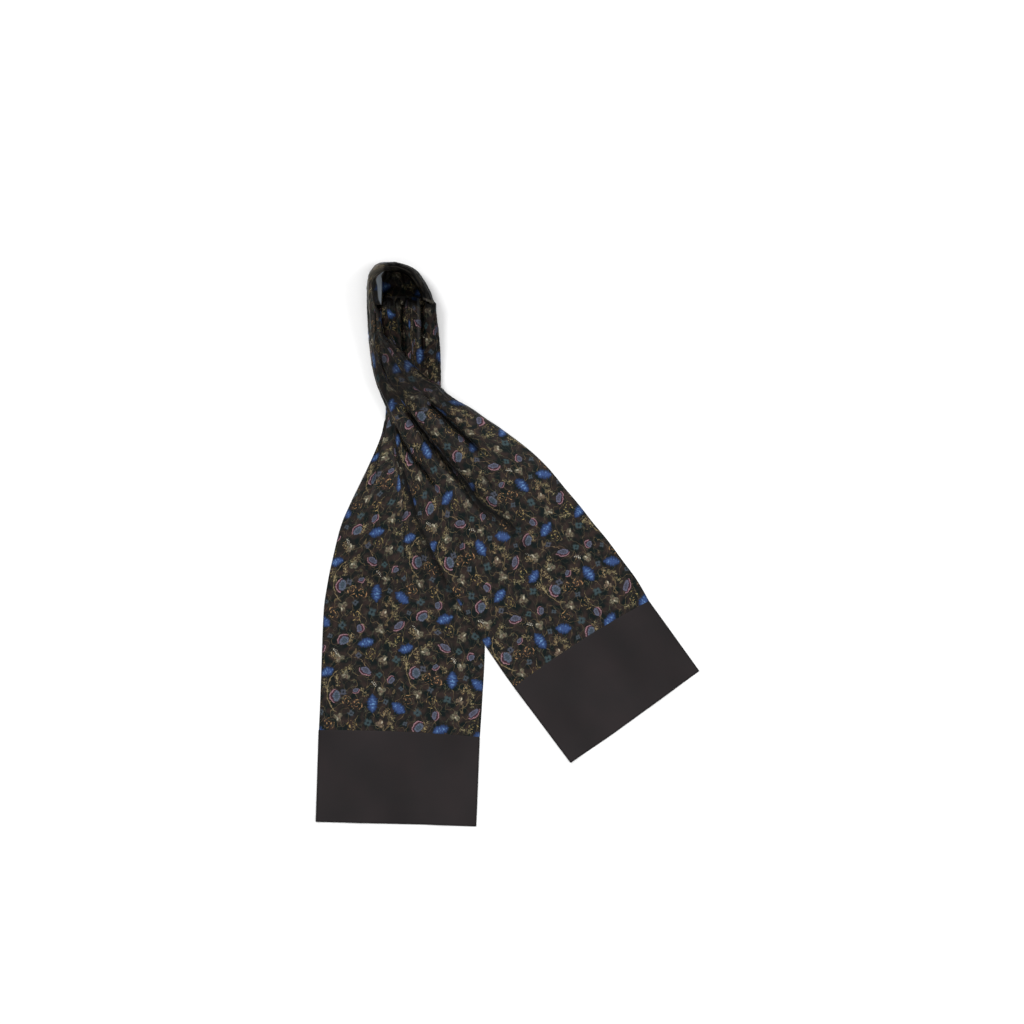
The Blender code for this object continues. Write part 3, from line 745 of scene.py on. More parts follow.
SPRIGS = [
    (20.5, -13, 45, 8, 1), (31.5, 139, 90, 7, 0.4), (66, 75, 85, 9, 0.7), (48, 66, 100, 10, 0.5),
    (-41, 52, 20, 9, 0.4), (26, 95, -30, 9, 0.2), (-38, 100, 60, 9, 0.8), (60, 112, 120, 9, 0.9),
    (30, -20, -60, 8, 0.3), (-14, 18, 120, 8, 0.6),
]
STEMS = [(88, 62, -45, 27, 0.5), (90, 58, 90, 40, 0.4), (-2, 140, 100, 24, 0.3), (-34, 50, -60, 22, 0.6)]
DOTTED = [(1, 31, 135, 6.5, 0.5), (61, 120.5, 120, 6, 0.5)]

# The thin lines between the motifs: how fine their noise is, and their ink.
FILIGREE = [(1.3, srgb(116, 96, 60)), (1.9, srgb(84, 86, 64))]
FILIGREE_HALF_WIDTH = 0.006
FILIGREE_STRENGTH = 0.75

# Crescent flowers whose tint is below this are flatter.
FLAT_BELOW_TINT = 0.25

# How far the print wanders on the weave in metres, the strength of its inks, and the ground's two colours.
WANDER = 0.005
INK_SATURATION = 0.84
INK_STRENGTH = 0.67
GROUND_DARK = srgb(2, 21, 21)
GROUND_BROWN = srgb(55, 40, 35)

# The colours of the painted sheen, where the silk catches the light, from warm to cool.
PAINTED_SHEEN_WARM = srgb(70, 66, 58)
PAINTED_SHEEN_COOL = srgb(102, 108, 114)


def nearest_motif(repeat, motifs):
    """X and Y in the nearest motif of a kind, in half lengths of it, and its tint."""
    nearest = None
    for across, along, degrees, size, tint in motifs:
        share_a = across / REPEAT_ACROSS[0]
        share_b = (along - REPEAT_ACROSS[1] * share_a) / REPEAT_ALONG
        shifted = vector("ADD", repeat, (0.5 - share_a, 0.5 - share_b, 0))
        wrapped = vector("SUBTRACT", vector("FRACTION", shifted), (0.5, 0.5, 0))
        cosine = math.cos(math.radians(degrees)) / size
        sine = math.sin(math.radians(degrees)) / size
        step_u, step_v = REPEAT_ACROSS
        x = vector("DOT_PRODUCT", wrapped, (cosine * step_u + sine * step_v, sine * REPEAT_ALONG, 0))
        y = vector("DOT_PRODUCT", wrapped, (cosine * step_v - sine * step_u, cosine * REPEAT_ALONG, 0))
        place = join(x, y, tint)
        gap = vector("DOT_PRODUCT", place, place)
        if nearest is None:
            nearest, nearest_gap = place, gap
        else:
            inputs = [(0, gap < nearest_gap), (4, nearest), (5, place)]
            nearest = add_node(gap.tree, "ShaderNodeMix", inputs, 1, data_type="VECTOR")
            nearest_gap = gap.least(nearest_gap)
    return split(nearest)


# Each motif is drawn in half lengths of itself, and gives its ink and where that lies.


def blue_flower(x, y, tint):
    """A plump oval with scalloped edges, a dark teal rim and rows of pale tufts."""
    off = abs(y)
    belly = 0.61 - abs(x) ** 2.6 * 0.61
    depth = belly * (abs(wave(x, 12, 0.6)) * 0.24 + 0.84) - off
    mottle = (noise(join(x, y, tint), 4.5, 1) * 7 - 2.9).clamped()
    tufts = (wave(x + off * 0.5, 17) * 0.5 + 0.35) * mottle
    pale = ((depth - 0.25) * (tufts * 4)).clamped()
    body = mix((depth * 2.4).clamped(), srgb(3, 18, 30), srgb(14, 68, 138))
    ink = mix(pale, body, mix(tint, srgb(92, 148, 218), srgb(86, 158, 206)))
    return ink, (depth * 8).clamped()


def crescent_flower(x, y, tint):
    """An oval core with a beaded rim, and a thin pink crescent round one side over a dark gap."""
    y = y * ((tint < FLAT_BELOW_TINT) * 0.42 + 1)
    core, angle = polar(x / 0.78, y * 1.85 + 0.24)
    beads = stripes(angle, 11) * line(core - 0.74, 0.2)
    hatch = stripes(x, 21) * inside(0.66, core, 4)
    core_ink = mix(tint, srgb(84, 82, 102), srgb(62, 88, 100))
    core_ink = mix(beads * 0.6, core_ink, srgb(118, 120, 154))
    core_ink = mix(hatch * 0.5, core_ink, srgb(40, 44, 66))
    outer, turn = polar(x, y * 1.12 + 0.1)
    front = y > 0.02
    arc = line(outer - 0.88, y * 0.08 + 0.045) * front
    gap = inside(0.9, outer, 10) * front
    pink = mix(stripes(turn, 22), srgb(138, 88, 100), srgb(174, 126, 136))
    in_core = inside(1, core, 7)
    ink = mix(in_core, mix(arc, srgb(72, 34, 50), pink), core_ink)
    return ink, arc.most(gap * 0.85).most(in_core)


def four_petal(x, y, tint):
    radius, angle = polar(x, y)
    petals = inside(abs(wave(angle, 2)) * 0.34 + 0.64, radius, 2.6)
    ink = mix(tint, srgb(80, 82, 98), srgb(56, 82, 86))
    return mix(inside(0.34, radius, 5), ink, srgb(24, 34, 40)), petals


def blossom(x, y, tint):
    """Three blurred olive petals with veins, a bright streak and a warm heart."""
    radius, angle = polar(x, y)
    petals = inside(abs(wave(angle, 1.5, 0.5)) * 0.44 + 0.5, radius, 5)
    veins = (angle * 9 + radius * 8).cosine() * 0.275 + 0.725
    ink = mix(veins, srgb(40, 38, 26), mix(tint, srgb(134, 132, 106), srgb(160, 134, 102)))
    heart = inside(0.36, distance(x + 0.2, y + 0.1), 4)
    streak = inside(1, distance(x * 6 - 0.7, y * 2.1 - 0.75), 2)
    ink = mix(streak, mix(heart, ink, srgb(130, 106, 86)), srgb(214, 204, 174))
    return ink, petals.most(streak)


def curl(x, y, tint):
    """A spiral with gaps in its stroke."""
    radius, angle = polar(x, y)
    turns = (radius * 2.1 + angle * (1 / (2 * math.pi))).fraction()
    unbroken = (radius * 5.5 + angle * 3).cosine() > -0.25
    ring = (radius < 1) * (radius > 0.14)
    return mix(tint, srgb(160, 142, 70), srgb(190, 130, 66)), line(turns - 0.5, 0.17) * unbroken * ring


def sprig(x, y, tint):
    """A bent stem with open leaves at even steps along both sides."""
    off = abs(y - (x * 2.6).sine() * 0.2)
    along = (x * 1.4).fraction() - 0.5
    leaf = distance((along - off * 0.8) * 2, off * 3.4 - 0.95)
    stem = off < 0.07
    ink = mix(stem, mix(tint, srgb(132, 130, 82), srgb(166, 134, 82)), srgb(168, 150, 104))
    return ink, stem.most(line(leaf - 0.5, 0.17)) * (abs(x) < 1.05)


def long_stem(x, y, tint):
    """A wide arc with small buds along it."""
    radius, angle = polar(x, y)
    buds = wave(angle, 17).most(0) ** 8
    stroke = line(radius - 1, buds * 0.022 + 0.013)
    return mix(tint, srgb(132, 126, 78), srgb(156, 116, 80)), stroke * (y > 0.6)


def dots(x, y, tint):
    """A small cluster of pale dots, all in one ink."""
    dot = distance((x * 2.2).fraction() - 0.5, (y * 2.2 + 0.3).fraction() - 0.5)
    cluster = distance(x, y * 2.6)
    return srgb(196, 190, 172), (dot < 0.3) * (cluster < 1)


# The motifs from the lowest to the top one, with their places and how far their ink breaks into flecks.
PRINT_LAYERS = [
    (long_stem, STEMS, 0.45), (curl, CURLS, 0.95), (sprig, SPRIGS, 0.8), (blossom, BLOSSOMS, 0.6),
    (four_petal, FOUR_PETALS, 0), (crescent_flower, CRESCENT_FLOWERS, 0), (blue_flower, BLUE_FLOWERS, 0),
    (dots, DOTTED, 0),
]


def filigree(repeat, ground):
    """Thin wandering lines that repeat with the motifs: contours of noise on a doubled ring."""
    across, along, _ = split(repeat)
    turn = 2 * math.pi
    ring = join(wave(across, turn), wave(across, turn, -turn / 4), wave(along, turn))
    fourth = wave(along, turn, -turn / 4)
    colour = ground
    for scale, ink in FILIGREE:
        inputs = [("Vector", ring), ("W", fourth), ("Scale", scale), ("Detail", 1)]
        contour = add_node(repeat.tree, "ShaderNodeTexNoise", inputs, noise_dimensions="4D")
        stroke = line(contour - 0.5, FILIGREE_HALF_WIDTH)
        colour = mix(stroke * FILIGREE_STRENGTH, colour, ink)
    return colour


def print_colours(cloth):
    """The print at a place on the uncut cloth."""
    wander = vector("SUBTRACT", noise(cloth, 160, 1, output=1), (0.5, 0.5, 0.5))
    moved = vector("ADD", cloth, scaled(wander, WANDER))
    across = REPEAT_ACROSS[0] * MILLIMETRE
    along = REPEAT_ALONG * MILLIMETRE
    slant = REPEAT_ACROSS[1] * MILLIMETRE / (across * along)
    share_across = vector("DOT_PRODUCT", moved, (1 / across, 0, 0))
    repeat = join(share_across, vector("DOT_PRODUCT", moved, (-slant, 1 / along, 0)))
    patches = (noise(cloth, 85, 1) * 3.2 - 1.15).clamped()
    colour = filigree(repeat, mix(patches, GROUND_DARK, GROUND_BROWN))
    flecks = (noise(cloth, 290, 1) * 7 - 3.1).clamped()
    for draw, motifs, broken in PRINT_LAYERS:
        ink, mask = draw(*nearest_motif(repeat, motifs))
        if broken:
            mask = mask * (flecks * broken + (1 - broken))
        colour = mix(mask, colour, ink)
    inputs = [("Saturation", INK_SATURATION), ("Value", INK_STRENGTH), ("Color", colour)]
    return add_node(cloth.tree, "ShaderNodeHueSaturation", inputs)


def plain_colours(cloth):
    """The end panels' brownish black."""
    return mix(noise(cloth, 16), srgb(28, 27, 28), srgb(40, 33, 34))


def plain_material(name, settings):
    """A material and its shader, with inputs set by their names."""
    material = bpy.data.materials.new(name)
    material.use_nodes = True
    shader = material.node_tree.nodes["Principled BSDF"]
    for socket, value in settings.items():
        shader.inputs[socket].default_value = value
    return material, shader


def silk(name, colours, roughness, specular, sheen, threads):
    """Silk with a fine twill, slubs and an uneven handle, in colours that depend on the place on the cloth.
    Its light attribute paints shade into it in creases and gathers, and paints a sheen over it where it
    shines."""
    surface = {"Specular IOR Level": specular, "Sheen Weight": sheen, "Sheen Roughness": 0.45}
    material, shader = plain_material(name, surface)
    tree = material.node_tree
    cloth = attribute(tree, "cloth")
    weave = [("Vector", cloth), ("Scale", 330), ("Distortion", 0.6), ("Detail", 1)]
    twill = add_node(tree, "ShaderNodeTexWave", weave, 1, bands_direction="DIAGONAL")
    slubs = noise(vector("MULTIPLY", cloth, (1, 0.12, 1)), 900)
    relief = [("Strength", 0.35), ("Distance", 0.00006), ("Height", twill * 0.7 + slubs * 0.6)]
    # Painted light: a factor of painted shade, a painted sheen laid over the print, and how cool that sheen
    # is.
    painted_light, painted_sheen, cool = split(attribute(tree, "light"))
    woven = scaled(colours(cloth), twill * threads + (1 - threads / 2))
    lit = mix(painted_sheen, scaled(woven, painted_light), mix(cool, PAINTED_SHEEN_WARM, PAINTED_SHEEN_COOL))
    handle = noise(cloth, 28, 3) * 0.14 + (roughness - 0.07)
    bump = add_node(tree, "ShaderNodeBump", relief)
    for socket, value in (("Base Color", lit), ("Roughness", handle), ("Normal", bump)):
        tree.links.new(value.socket, shader.inputs[socket])
    return material


# The printed silk, a duller copy of it with less shine as painted shade for the neck's turn, right leg and
# hollow, and the panels: roughness, specular, sheen, and how much the threads show.
printed = silk("printed_silk_cloth", print_colours, 0.45, 0.13, 0.04, 0.16)
printed_in_shade = silk("printed_silk_painted_shade", print_colours, 0.45, 0.05, 0, 0.16)
plain = silk("plain_silk_cloth", plain_colours, 0.48, 0.16, 0.04, 0.1)

# The surfaces of the cloth, and the light and shade that their folds leave on them, painted into their
# colour. The painted light is kept as three shares: the open sky that a place is painted as seeing, a painted
# sheen over the print, and how cool that sheen is.

# Hills and ditches, as height, distance from the edge or seam, and half width.
HEM_RIDGE = (0.22, 3.2, 1.9)
HEM_DITCH = (-0.14, 6.8, 1.2)
SEAM_DITCH = (-0.35, 0, 1.3)
END_HEM_RIDGE = (0.2, 3, 1.8)
END_HEM_DITCH = (-0.12, 6.6, 1.2)
# EDGE_SHADE is painted shade, not a height: its depth of shade, distance from the edge and half width.
EDGE_SHADE = (0.5, 0, 1.7)
PUCKER = 0.28
PUCKER_REACH = 7

# Layers in the steep sides of the neck: how many, how deep the grooves between them are, and where these set
# in by the upward part of the normal and by the crown's height.
SIDE_LAYERS = 4.2
GROOVE = 2.6
SIDE_STEEPNESS = (0.8, 0.35)
SIDE_CROWN = (14, 26)

# The front layer's light: shade up the neck and on the turn, whose soft edge is wider where it is steep, and
# shine on a strip of the left leg, on the patch at its top, in streaks on the turn, and on the turn's end.
NECK_SHADE = 0.64
NECK_SHADE_Y = (188, 236)
TURN_SHADE = 0.87
TURN_FROM_X = -192
TURN_FROM_Y = 372
TURN_SOFT_X = (2, 34)
TURN_SOFT_Y = (8, 14)
STRIP_X = (-194, -199)
STRIP_Y = (262, 332)
STRIP_SHARE = (0.82, 0.72)
PATCH_Y = (410, 418)
END_STATIONS = (0.27, 0.17)
END_SHARE = (0.9, 0.75)
STRIP_SHINE = 0.1
STREAK_SHINE = 0.16
PATCH_SHINE = 0.54
END_SHINE = 0.55

# The rear layer's light: shade sets in under the turn's leg and down the lip, and one pleat shines.
LEG_SHADE = 0.42
LEG_SHADE_Y = (225, 275)
LIP_SHADE = 0.9
LIP_SHADE_Y = 364
LIP_SHADE_REACH = 9
SHINING_PLEAT_X = -138
SHINING_PLEAT_Y = (296, 308)
PLEAT_SHINE = 0.14

# The hollow's bottom: its left and right edge at shares of its length, where the slope down from the lip
# bends and how steep it is before and beyond, where the left leg's inner face ends and how it slopes, where
# its painted shade lightens, and the part of the face with a painted highlight as Y with both edges there.
HOLLOW_Y = (373, 431)
HOLLOW_LEFT = ([0, 0.5, 0.85, 1], [-208, -211, -208, -197])
HOLLOW_RIGHT = ([0, 0.5, 1], [-128, -138, -158])
BEND_Y, BEND_HEIGHT, STEEP_BEFORE, STEEP_BEYOND = 387, 23.5, 0.5, 1.6
FACE_FOOT_X = -193.5
FACE_FOOT_DRAWN_IN_Y = (412, 424)
FACE_TOP_X, FACE_TOP, FACE_SLOPE = -204, 30, 0.42
HOLLOW_LIGHT_Y = (386, 400)
LIT_FACE = np.array([
    (372, -196.8, -197),
    (376, -198.6, -196.4),
    (382, -201.2, -196),
    (402, -202.8, -195.6),
    (411, -204.8, -195.8),
    (418, -202, -196.6),
    (424, -196, -193),
    (428, -191, -190.6),
])


def creased(seed, grid, cloth, pleated, gathered):
    """The grid with the soft unevenness of laid silk and the pleats of the gathered neck."""
    across, along = cloth[..., 0], cloth[..., 1]
    soft = 0.45 * value_noise(across / 34, along / 60, seed)
    soft += 0.18 * value_noise(across / 13 + 7, along / 26, seed + 1)
    crumple = value_noise(grid[..., 0] / 6, grid[..., 1] / 5, seed + 4)
    crumple *= value_noise(across / 11, along / 9, seed + 5)
    move = soft + gathered * (2.6 * (pleated - 0.6) + 1.1 * crumple)
    return grid + normals_of(grid) * move[..., None]


def layered_sides(grid, crown):
    """Draws in the steep sides where one folded layer meets the next."""
    normal = normals_of(grid)
    side = ramp(normal[..., 2], *SIDE_STEEPNESS) * ramp(crown, *SIDE_CROWN)
    height = np.clip(grid[..., 2] / crown, 0, 1)
    wander = 0.05 * value_noise(lengths(grid, 0) / 24, 3.5, 61)
    layer = np.abs(np.sin(math.pi * SIDE_LAYERS * (height + wander)))
    groove = GROOVE * (1 - np.sqrt(layer))
    return grid - normal * (groove * side)[..., None]


def hem_and_seam(grid, from_seam):
    """A soft ridge where the hem allowance lies inside the edges, and the pucker of the seam."""
    across, width = across_and_width(grid)
    edge = np.minimum(across, width - across)
    pucker = PUCKER * value_noise(across / 7.5, 0.5, 23) * np.exp(-from_seam / PUCKER_REACH)
    grid = grid.copy()
    grid[..., 2] += hill(edge, *HEM_RIDGE) + hill(edge, *HEM_DITCH) + hill(from_seam, *SEAM_DITCH)
    grid[..., 2] += pucker * (from_seam >= 0)
    return grid


def edge_light(grid):
    """Light left at the lengthwise edges, where the folded cloth turns down."""
    across, width = across_and_width(grid)
    return 1 - hill(np.minimum(across, width - across), *EDGE_SHADE)


def finished(layer, grid, place, crown):
    """The layer with its pleats, stacked sides, hems and creases, its places on the uncut cloth, its normals,
    and the painted light and shade that its folds leave. Place is each point's station or Y."""
    gathered = ramp(place, *layer.gathers)
    pleated = pleats(layer, *grid.shape[:2])
    cloth = cloth_places(layer, grid, pleated, gathered)
    grid = layered_sides(grid, crown)
    grid = creased(layer.seed, grid, cloth, pleated, gathered)
    hems = 1 - ramp(place, *layer.hems_end)[..., None]
    grid = between(grid, hem_and_seam(grid, lengths(grid, 0)), hems)
    grid, painted_light = lean_over_creases(layer.name, grid)
    grid[..., 2] = np.maximum(grid[..., 2], UPPER_LEAST)
    return grid, cloth, normals_of(grid), painted_light * edge_light(grid)


def front_grid():
    """The whole front cloth as one grid: tail, left leg and turn. With it come each place's station, the
    crown's height there, its share of the way across, and the stations left to the end."""
    fine = np.linspace(0, FRONT_END, 1601)
    middle_x = (front_at(LEFT_X, fine) + front_at(RIGHT_X, fine)) / 2
    middle_y = (front_at(LEFT_Y, fine) + front_at(RIGHT_Y, fine)) / 2
    way = np.concatenate([[0], np.cumsum(np.hypot(np.diff(middle_x), np.diff(middle_y)))])
    neck_way = np.interp(NECK_START, fine, way)
    tail = np.interp(np.linspace(0, neck_way, TAIL_ROWS), way, fine)
    neck = np.interp(np.linspace(neck_way, way[-1], NECK_ROWS), way, fine)
    station = np.concatenate([tail, neck[1:]])[:, None]
    across = even_across(COLUMNS, front_at(FRONT_SQUARE, station), ramp(station, *FRONT_CROWDING))
    share = (across + 1) / 2
    drawn_back = TURN_END_SLANT * share**1.5
    station = station - drawn_back * ramp(station, TURN_END_FROM, FRONT_END)
    bow = FRONT_SEAM_BOW * (1 - across**2) * ease(1 - station / FRONT_BOW_STATIONS)
    x = between(front_at(LEFT_X, station), front_at(RIGHT_X, station), share) + FRONT_UP[0] * bow
    y = between(front_at(LEFT_Y, station), front_at(RIGHT_Y, station), share) + FRONT_UP[1] * bow
    crown = front_at(CROWN, station)
    on_rear = 1 - ramp(station, *OFF_REAR)
    ground = support(x, y) * on_rear
    mound = LYING + (crown - 2) * rounded(across, front_at(FRONT_SQUARE, station))
    top = smooth_max(mound, ground + CLOTH, np.clip(ground * 0.6, 0.02, 4))
    top -= (0.6 * troughs("front", x, y) + crease_depth("front", x, y)) * on_rear
    top = smooth_max(top, ground + 0.8, np.clip(ground * 0.3, 0.02, 2))
    to_end = FRONT_END - station - drawn_back
    top += 2 * ramp(to_end, 0.5, 0)
    return stacked(x, y, top), station, crown, share, to_end


def rear_grid():
    """The whole rear cloth as one grid, from its seam over the neck's lip down into the hollow."""
    lowest = REAR_ROWS[0, ROW_Y]
    tail = np.linspace(lowest, UNDER_TO_TAIL_Y, TAIL_ROWS)
    neck = np.linspace(UNDER_TO_TAIL_Y, LIP_START_Y, REAR_NECK_ROWS)
    y = np.concatenate([tail, neck[1:]])[:, None]
    across = even_across(COLUMNS, rear_at(REAR_SQUARE, y), ramp(y, *REAR_CROWDING))
    share = (across + 1) / 2
    (_, seam_left_y), (_, seam_right_y) = REAR_SEAM
    seam_y = between(seam_left_y, seam_right_y, share) + REAR_SEAM_BOW * (1 - across**2)
    y = y + (seam_y - lowest) * ramp(y, REAR_LEAN_FROM_Y, lowest)
    x = between(rear_at(LEFT_EDGE, y), rear_at(RIGHT_EDGE, y), share)
    mound = rear_mound(x, y)
    x -= UNDER_LEG * ramp(share, 0.1, 0) * ramp(y, *UNDER_LEG_Y)
    depth = troughs("rear", x, y) + crease_depth("rear", x, y) + 0.9 * crease_depth("front", x, y)
    grid = stacked(x, y, np.maximum(mound - depth, np.minimum(mound, LYING)))
    last = grid[-1]
    bend = np.linspace(0, LIP_BEND, LIP_ROWS + 1)[1:, None]
    drop = LIP_CURVE * (1 - np.cos(bend)) * (1 - ramp(last[:, 0], *LIP_ENDS_X))
    over = np.repeat(last[None], LIP_ROWS, axis=0)
    over[..., 1] += LIP_CURVE * np.sin(bend)
    under_turn = ramp(over[..., 1], *UNDER_TURN_Y) * ramp(over[..., 0], *UNDER_TURN_X)
    over[..., 0] -= UNDER_TURN_INWARD * under_turn
    drop = drop * over[..., 2] / rear_at(HEIGHT, LIP_START_Y) + UNDER_TURN_DOWN * under_turn
    over[..., 2] = np.maximum(over[..., 2] - drop, LYING)
    return np.concatenate([grid, over])


def cut(name, surface, rows, material):
    """One piece of a layer, from its rows of the surface's points, normals, places on the cloth and light."""
    return shell(name, *(part[rows] for part in surface), material)


def front_pieces():
    """The tail that lies on top, the left leg of the neck, and the turn round its back."""
    grid, station, crown, share, to_end = front_grid()
    grid, cloth, normal, painted_light = finished(FRONT, grid, station, crown)
    x, y = grid[..., 0], grid[..., 1]
    steep = ramp(normal[..., 2], 0.5, 0.1)
    soft_x, soft_y = (least + more * steep for least, more in (TURN_SOFT_X, TURN_SOFT_Y))
    turn = ease((x - TURN_FROM_X) / soft_x) * ease((y - TURN_FROM_Y) / soft_y)
    strip = ramp(x, *STRIP_X) * ramp(y, *STRIP_Y) * (1 - turn) * ramp(share, *STRIP_SHARE)
    patch = ease((TURN_FROM_X - x) / soft_x) * ramp(y, *PATCH_Y)
    cut_end = ramp(to_end, *END_STATIONS) * ramp(share, *END_SHARE)
    sheen_streaks = turn * ramp(value_noise(share * 7, station * 1.3, 91), 0.1, 0.5)
    # Painted shade up the neck and on the turn, and painted sheen on the left leg's strip, its patch, streaks
    # on the turn and the turn's end.
    painted_light *= 1 - NECK_SHADE * ramp(y, *NECK_SHADE_Y) * (1 - 0.7 * strip)
    painted_light *= 1 - TURN_SHADE * turn * (1 - cut_end)
    painted_sheen = np.maximum(STRIP_SHINE * strip + STREAK_SHINE * sheen_streaks, PATCH_SHINE * patch)
    painted_sheen = np.maximum(painted_sheen, END_SHINE * cut_end)
    surface = (grid, normal, cloth, stacked(painted_light, painted_sheen, 0))
    leg_end = int(np.argmax(station[:, 0] > TOP_FOLD_STATION))
    return (
        cut("front_tail_cloth", surface, slice(TAIL_ROWS), printed),
        cut("front_neck_cloth", surface, slice(TAIL_ROWS - 1, leg_end + 1), printed),
        cut("neck_turn_cloth", surface, slice(leg_end, None), printed_in_shade),
    )


def rear_pieces():
    """The tail that lies underneath, and the neck's right leg with its lip."""
    grid = rear_grid()
    y = grid[..., 1]
    grid, cloth, normal, painted_light = finished(REAR, grid, y, np.maximum(rear_at(HEIGHT, y), 2))
    x, y = grid[..., 0], grid[..., 1]
    # Painted shade under the turn's leg and down the lip, and a painted sheen on one pleat.
    dark_from = LIP_SHADE_Y + 2.5 * value_noise(x / 8, 0.5, 83)
    painted_light *= 1 - LEG_SHADE * ramp(y, *LEG_SHADE_Y)
    painted_light *= 1 - LIP_SHADE * ease((y - dark_from) / LIP_SHADE_REACH)
    shining_pleat = np.exp(-(((x - SHINING_PLEAT_X) / 2.6) ** 4)) * ramp(y, *SHINING_PLEAT_Y)
    surface = (grid, normal, cloth, stacked(painted_light, PLEAT_SHINE * shining_pleat, 0.5))
    return (
        cut("rear_tail_cloth", surface, slice(TAIL_ROWS), printed),
        cut("rear_neck_cloth", surface, slice(TAIL_ROWS - 1, None), printed_in_shade),
    )


def panel(name, seam, hem, bow, seed):
    """A flat end panel from its hem up to its seam."""
    up = up_the_tail(seam, hem)
    rise = np.linspace(0, 1, PANEL_GRID[0])[:, None, None]
    share = np.linspace(0, 1, PANEL_GRID[1])[:, None]
    seam_line = between(*np.array(seam), share) + up * (bow * (1 - (2 * share - 1) ** 2) - 0.3)
    hem_line = between(*np.array(hem), share) + up * (0.9 * value_noise(share * 3.1, 0, seed))
    plan = between(hem_line, seam_line, rise)
    grid = stacked(plan[..., 0], plan[..., 1], LYING)
    along, across = lengths(grid, 0), lengths(grid, 1)
    cloth = stacked(across, along, 0)
    # Painted shade along the edges and hems, and soft blotches of painted light and shade over the panel.
    painted_light = edge_light(grid) * (1 - hill(along, *EDGE_SHADE))
    painted_light *= 1 + 0.22 * value_noise(across / 42 + 3, along / 70, seed + 2)
    grid[..., 2] += hill(along, *END_HEM_RIDGE) + hill(along, *END_HEM_DITCH)
    grid[..., 2] += 0.5 + 0.45 * value_noise(across / 38, along / 45, seed)
    grid[..., 2] += 0.22 * value_noise(across / 17, along / 60, seed + 1)
    grid = hem_and_seam(grid, along[-1:] - along)
    return shell(name, grid, normals_of(grid), cloth, stacked(painted_light, 0, 0), plain)


def neck_inside():
    """The folds at the bottom of the hollow, in painted shade, with a painted highlight on the lit inner face
    of the left leg.
    """
    rise = np.linspace(0, 1, HOLLOW_GRID[0])[:, None]
    share = np.linspace(0, 1, HOLLOW_GRID[1])[None, :]
    x = between(smooth_through(*HOLLOW_LEFT, rise), smooth_through(*HOLLOW_RIGHT, rise), share)
    y = between(*HOLLOW_Y, rise) + 0 * share
    lit_left = smooth_through(LIT_FACE[:, 0], LIT_FACE[:, 1], y)
    lit_right = smooth_through(LIT_FACE[:, 0], LIT_FACE[:, 2], y)
    lit = ease(0.5 - np.maximum(lit_left - x, x - lit_right) / 1.6)
    lit *= 0.96 + 0.12 * value_noise(x / 1.8, y / 11, 73)
    below_lip = rear_mound(x, np.full_like(y, LIP_START_Y)) / rear_at(HEIGHT, LIP_START_Y)
    below_lip *= BEND_HEIGHT + np.where(y < BEND_Y, STEEP_BEFORE, STEEP_BEYOND) * (BEND_Y - y)
    folds = 5 + 3 * value_noise(x / 9, y / 14, 71) + 2 * value_noise(x / 5, y / 8, 72)
    face = FACE_TOP - FACE_SLOPE * (x - FACE_TOP_X)
    on_face = ease((FACE_FOOT_X - x + 5 * ramp(y, *FACE_FOOT_DRAWN_IN_Y)) / 2.5)
    height = between(smooth_max(folds, below_lip, 3), face, on_face)
    grid = stacked(x, y, np.maximum(height, 1.5))
    # Painted shade over the hollow, lighter in its upper part, and a painted highlight on the lit part of the
    # face.
    light = stacked(0.15 + 0.15 * ramp(y, *HOLLOW_LIGHT_Y), lit, lit)
    return shell("neck_inner_cloth", grid, normals_of(grid), stacked(x + 60, y, 0), light, printed_in_shade)


front_tail, front_neck, neck_turn = front_pieces()
rear_tail, rear_neck = rear_pieces()
front_panel = panel("front_end_panel", FRONT_SEAM, FRONT_HEM, FRONT_SEAM_BOW, 41)
rear_panel = panel("rear_end_panel", REAR_SEAM, REAR_HEM, REAR_SEAM_BOW, 51)
neck_inner = neck_inside()

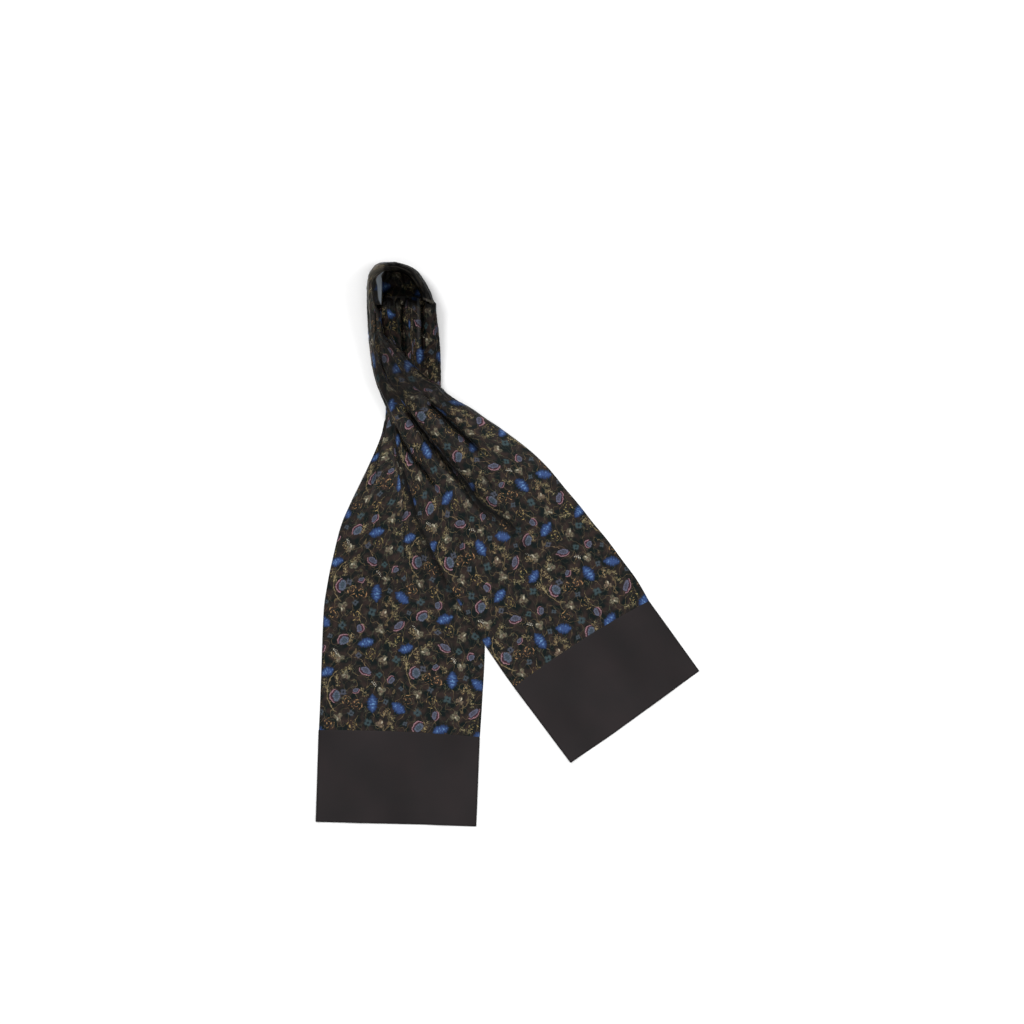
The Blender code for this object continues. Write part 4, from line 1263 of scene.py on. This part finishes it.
# Each piece of cloth: the solid that it stands for, its slot, how it is held and on what, the width and
# length that it was cut to in metres, and the share of that cut which shows, as folds hide the rest.
for piece, node, slot, held, under, flat, shown in (
    (front_tail, "front_tail", "printed_silk", "laid", (rear_tail,), (0.25, 0.43), 1),
    (front_neck, "neck_over", "printed_silk", "gathered", (rear_neck,), (0.25, 0.24), 0.4),
    (neck_turn, "neck_turn", "printed_silk", "gathered", (), (0.25, 0.12), 0.32),
    (rear_tail, "rear_tail", "printed_silk", "laid", (), (0.25, 0.51), 1),
    (rear_neck, "neck_under", "printed_silk", "gathered", (), (0.25, 0.15), 0.68),
    (neck_inner, "neck_floor", "printed_silk", "gathered", (), (0.25, 0.05), 0.5),
    (front_panel, "front_panel", "plain_silk", "laid", (), (0.25, 0.145), 1),
    (rear_panel, "rear_panel", "plain_silk", "laid", (), (0.25, 0.145), 1),
):
    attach(piece, "root")
    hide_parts(node)

# The studio, in metres: floor, camera, world and three soft lights, each with its place, width and power.
FLOOR_REACH = 30
FLOOR_SURFACE = {"Base Color": (0.97, 0.97, 0.97, 1), "Roughness": 0.9, "Specular IOR Level": 0.1}
CAMERA_PLACE = (0.00703, 0.05, 8.889)
CAMERA_LENS = 200
SENSOR_WIDTH = 36
WORLD_STRENGTH = 0.55
LIGHTS_AIM_AT = Vector((-0.05, 0, 0))
LIGHTS = [
    ("key", (-1.6, 1.6, 1.9), 1.2, 42),
    ("fill", (1.9, 0.6, 1.7), 1.6, 26),
    ("front", (0.2, -2.2, 1.8), 1.6, 20),
]

corners = [(x * FLOOR_REACH, y * FLOOR_REACH, 0) for x, y in ((-1, -1), (1, -1), (1, 1), (-1, 1))]
floor_mesh = bpy.data.meshes.new("floor")
floor_mesh.from_pydata(corners, [], [(0, 1, 2, 3)])
floor = put("floor", floor_mesh)
floor_mesh.materials.append(plain_material("studio_floor", FLOOR_SURFACE)[0])

camera_data = bpy.data.cameras.new("camera")
camera_data.lens = CAMERA_LENS
camera_data.sensor_width = SENSOR_WIDTH
camera = put("camera", camera_data)
camera.location = CAMERA_PLACE
bpy.context.scene.camera = camera

world = bpy.data.worlds.new("studio")
bpy.context.scene.world = world
world.use_nodes = True
world.node_tree.nodes["Background"].inputs["Color"].default_value = (1, 1, 1, 1)
world.node_tree.nodes["Background"].inputs["Strength"].default_value = WORLD_STRENGTH
bpy.context.scene.view_settings.view_transform = "Standard"

for name, place, width, power in LIGHTS:
    light_data = bpy.data.lights.new(name, "AREA")
    light_data.shape = "DISK"
    light_data.size = width
    light_data.energy = power
    light = put(name, light_data)
    light.location = place
    light.rotation_mode = "QUATERNION"
    light.rotation_quaternion = (LIGHTS_AIM_AT - Vector(place)).to_track_quat("-Z", "Y")
    light.visible_camera = False
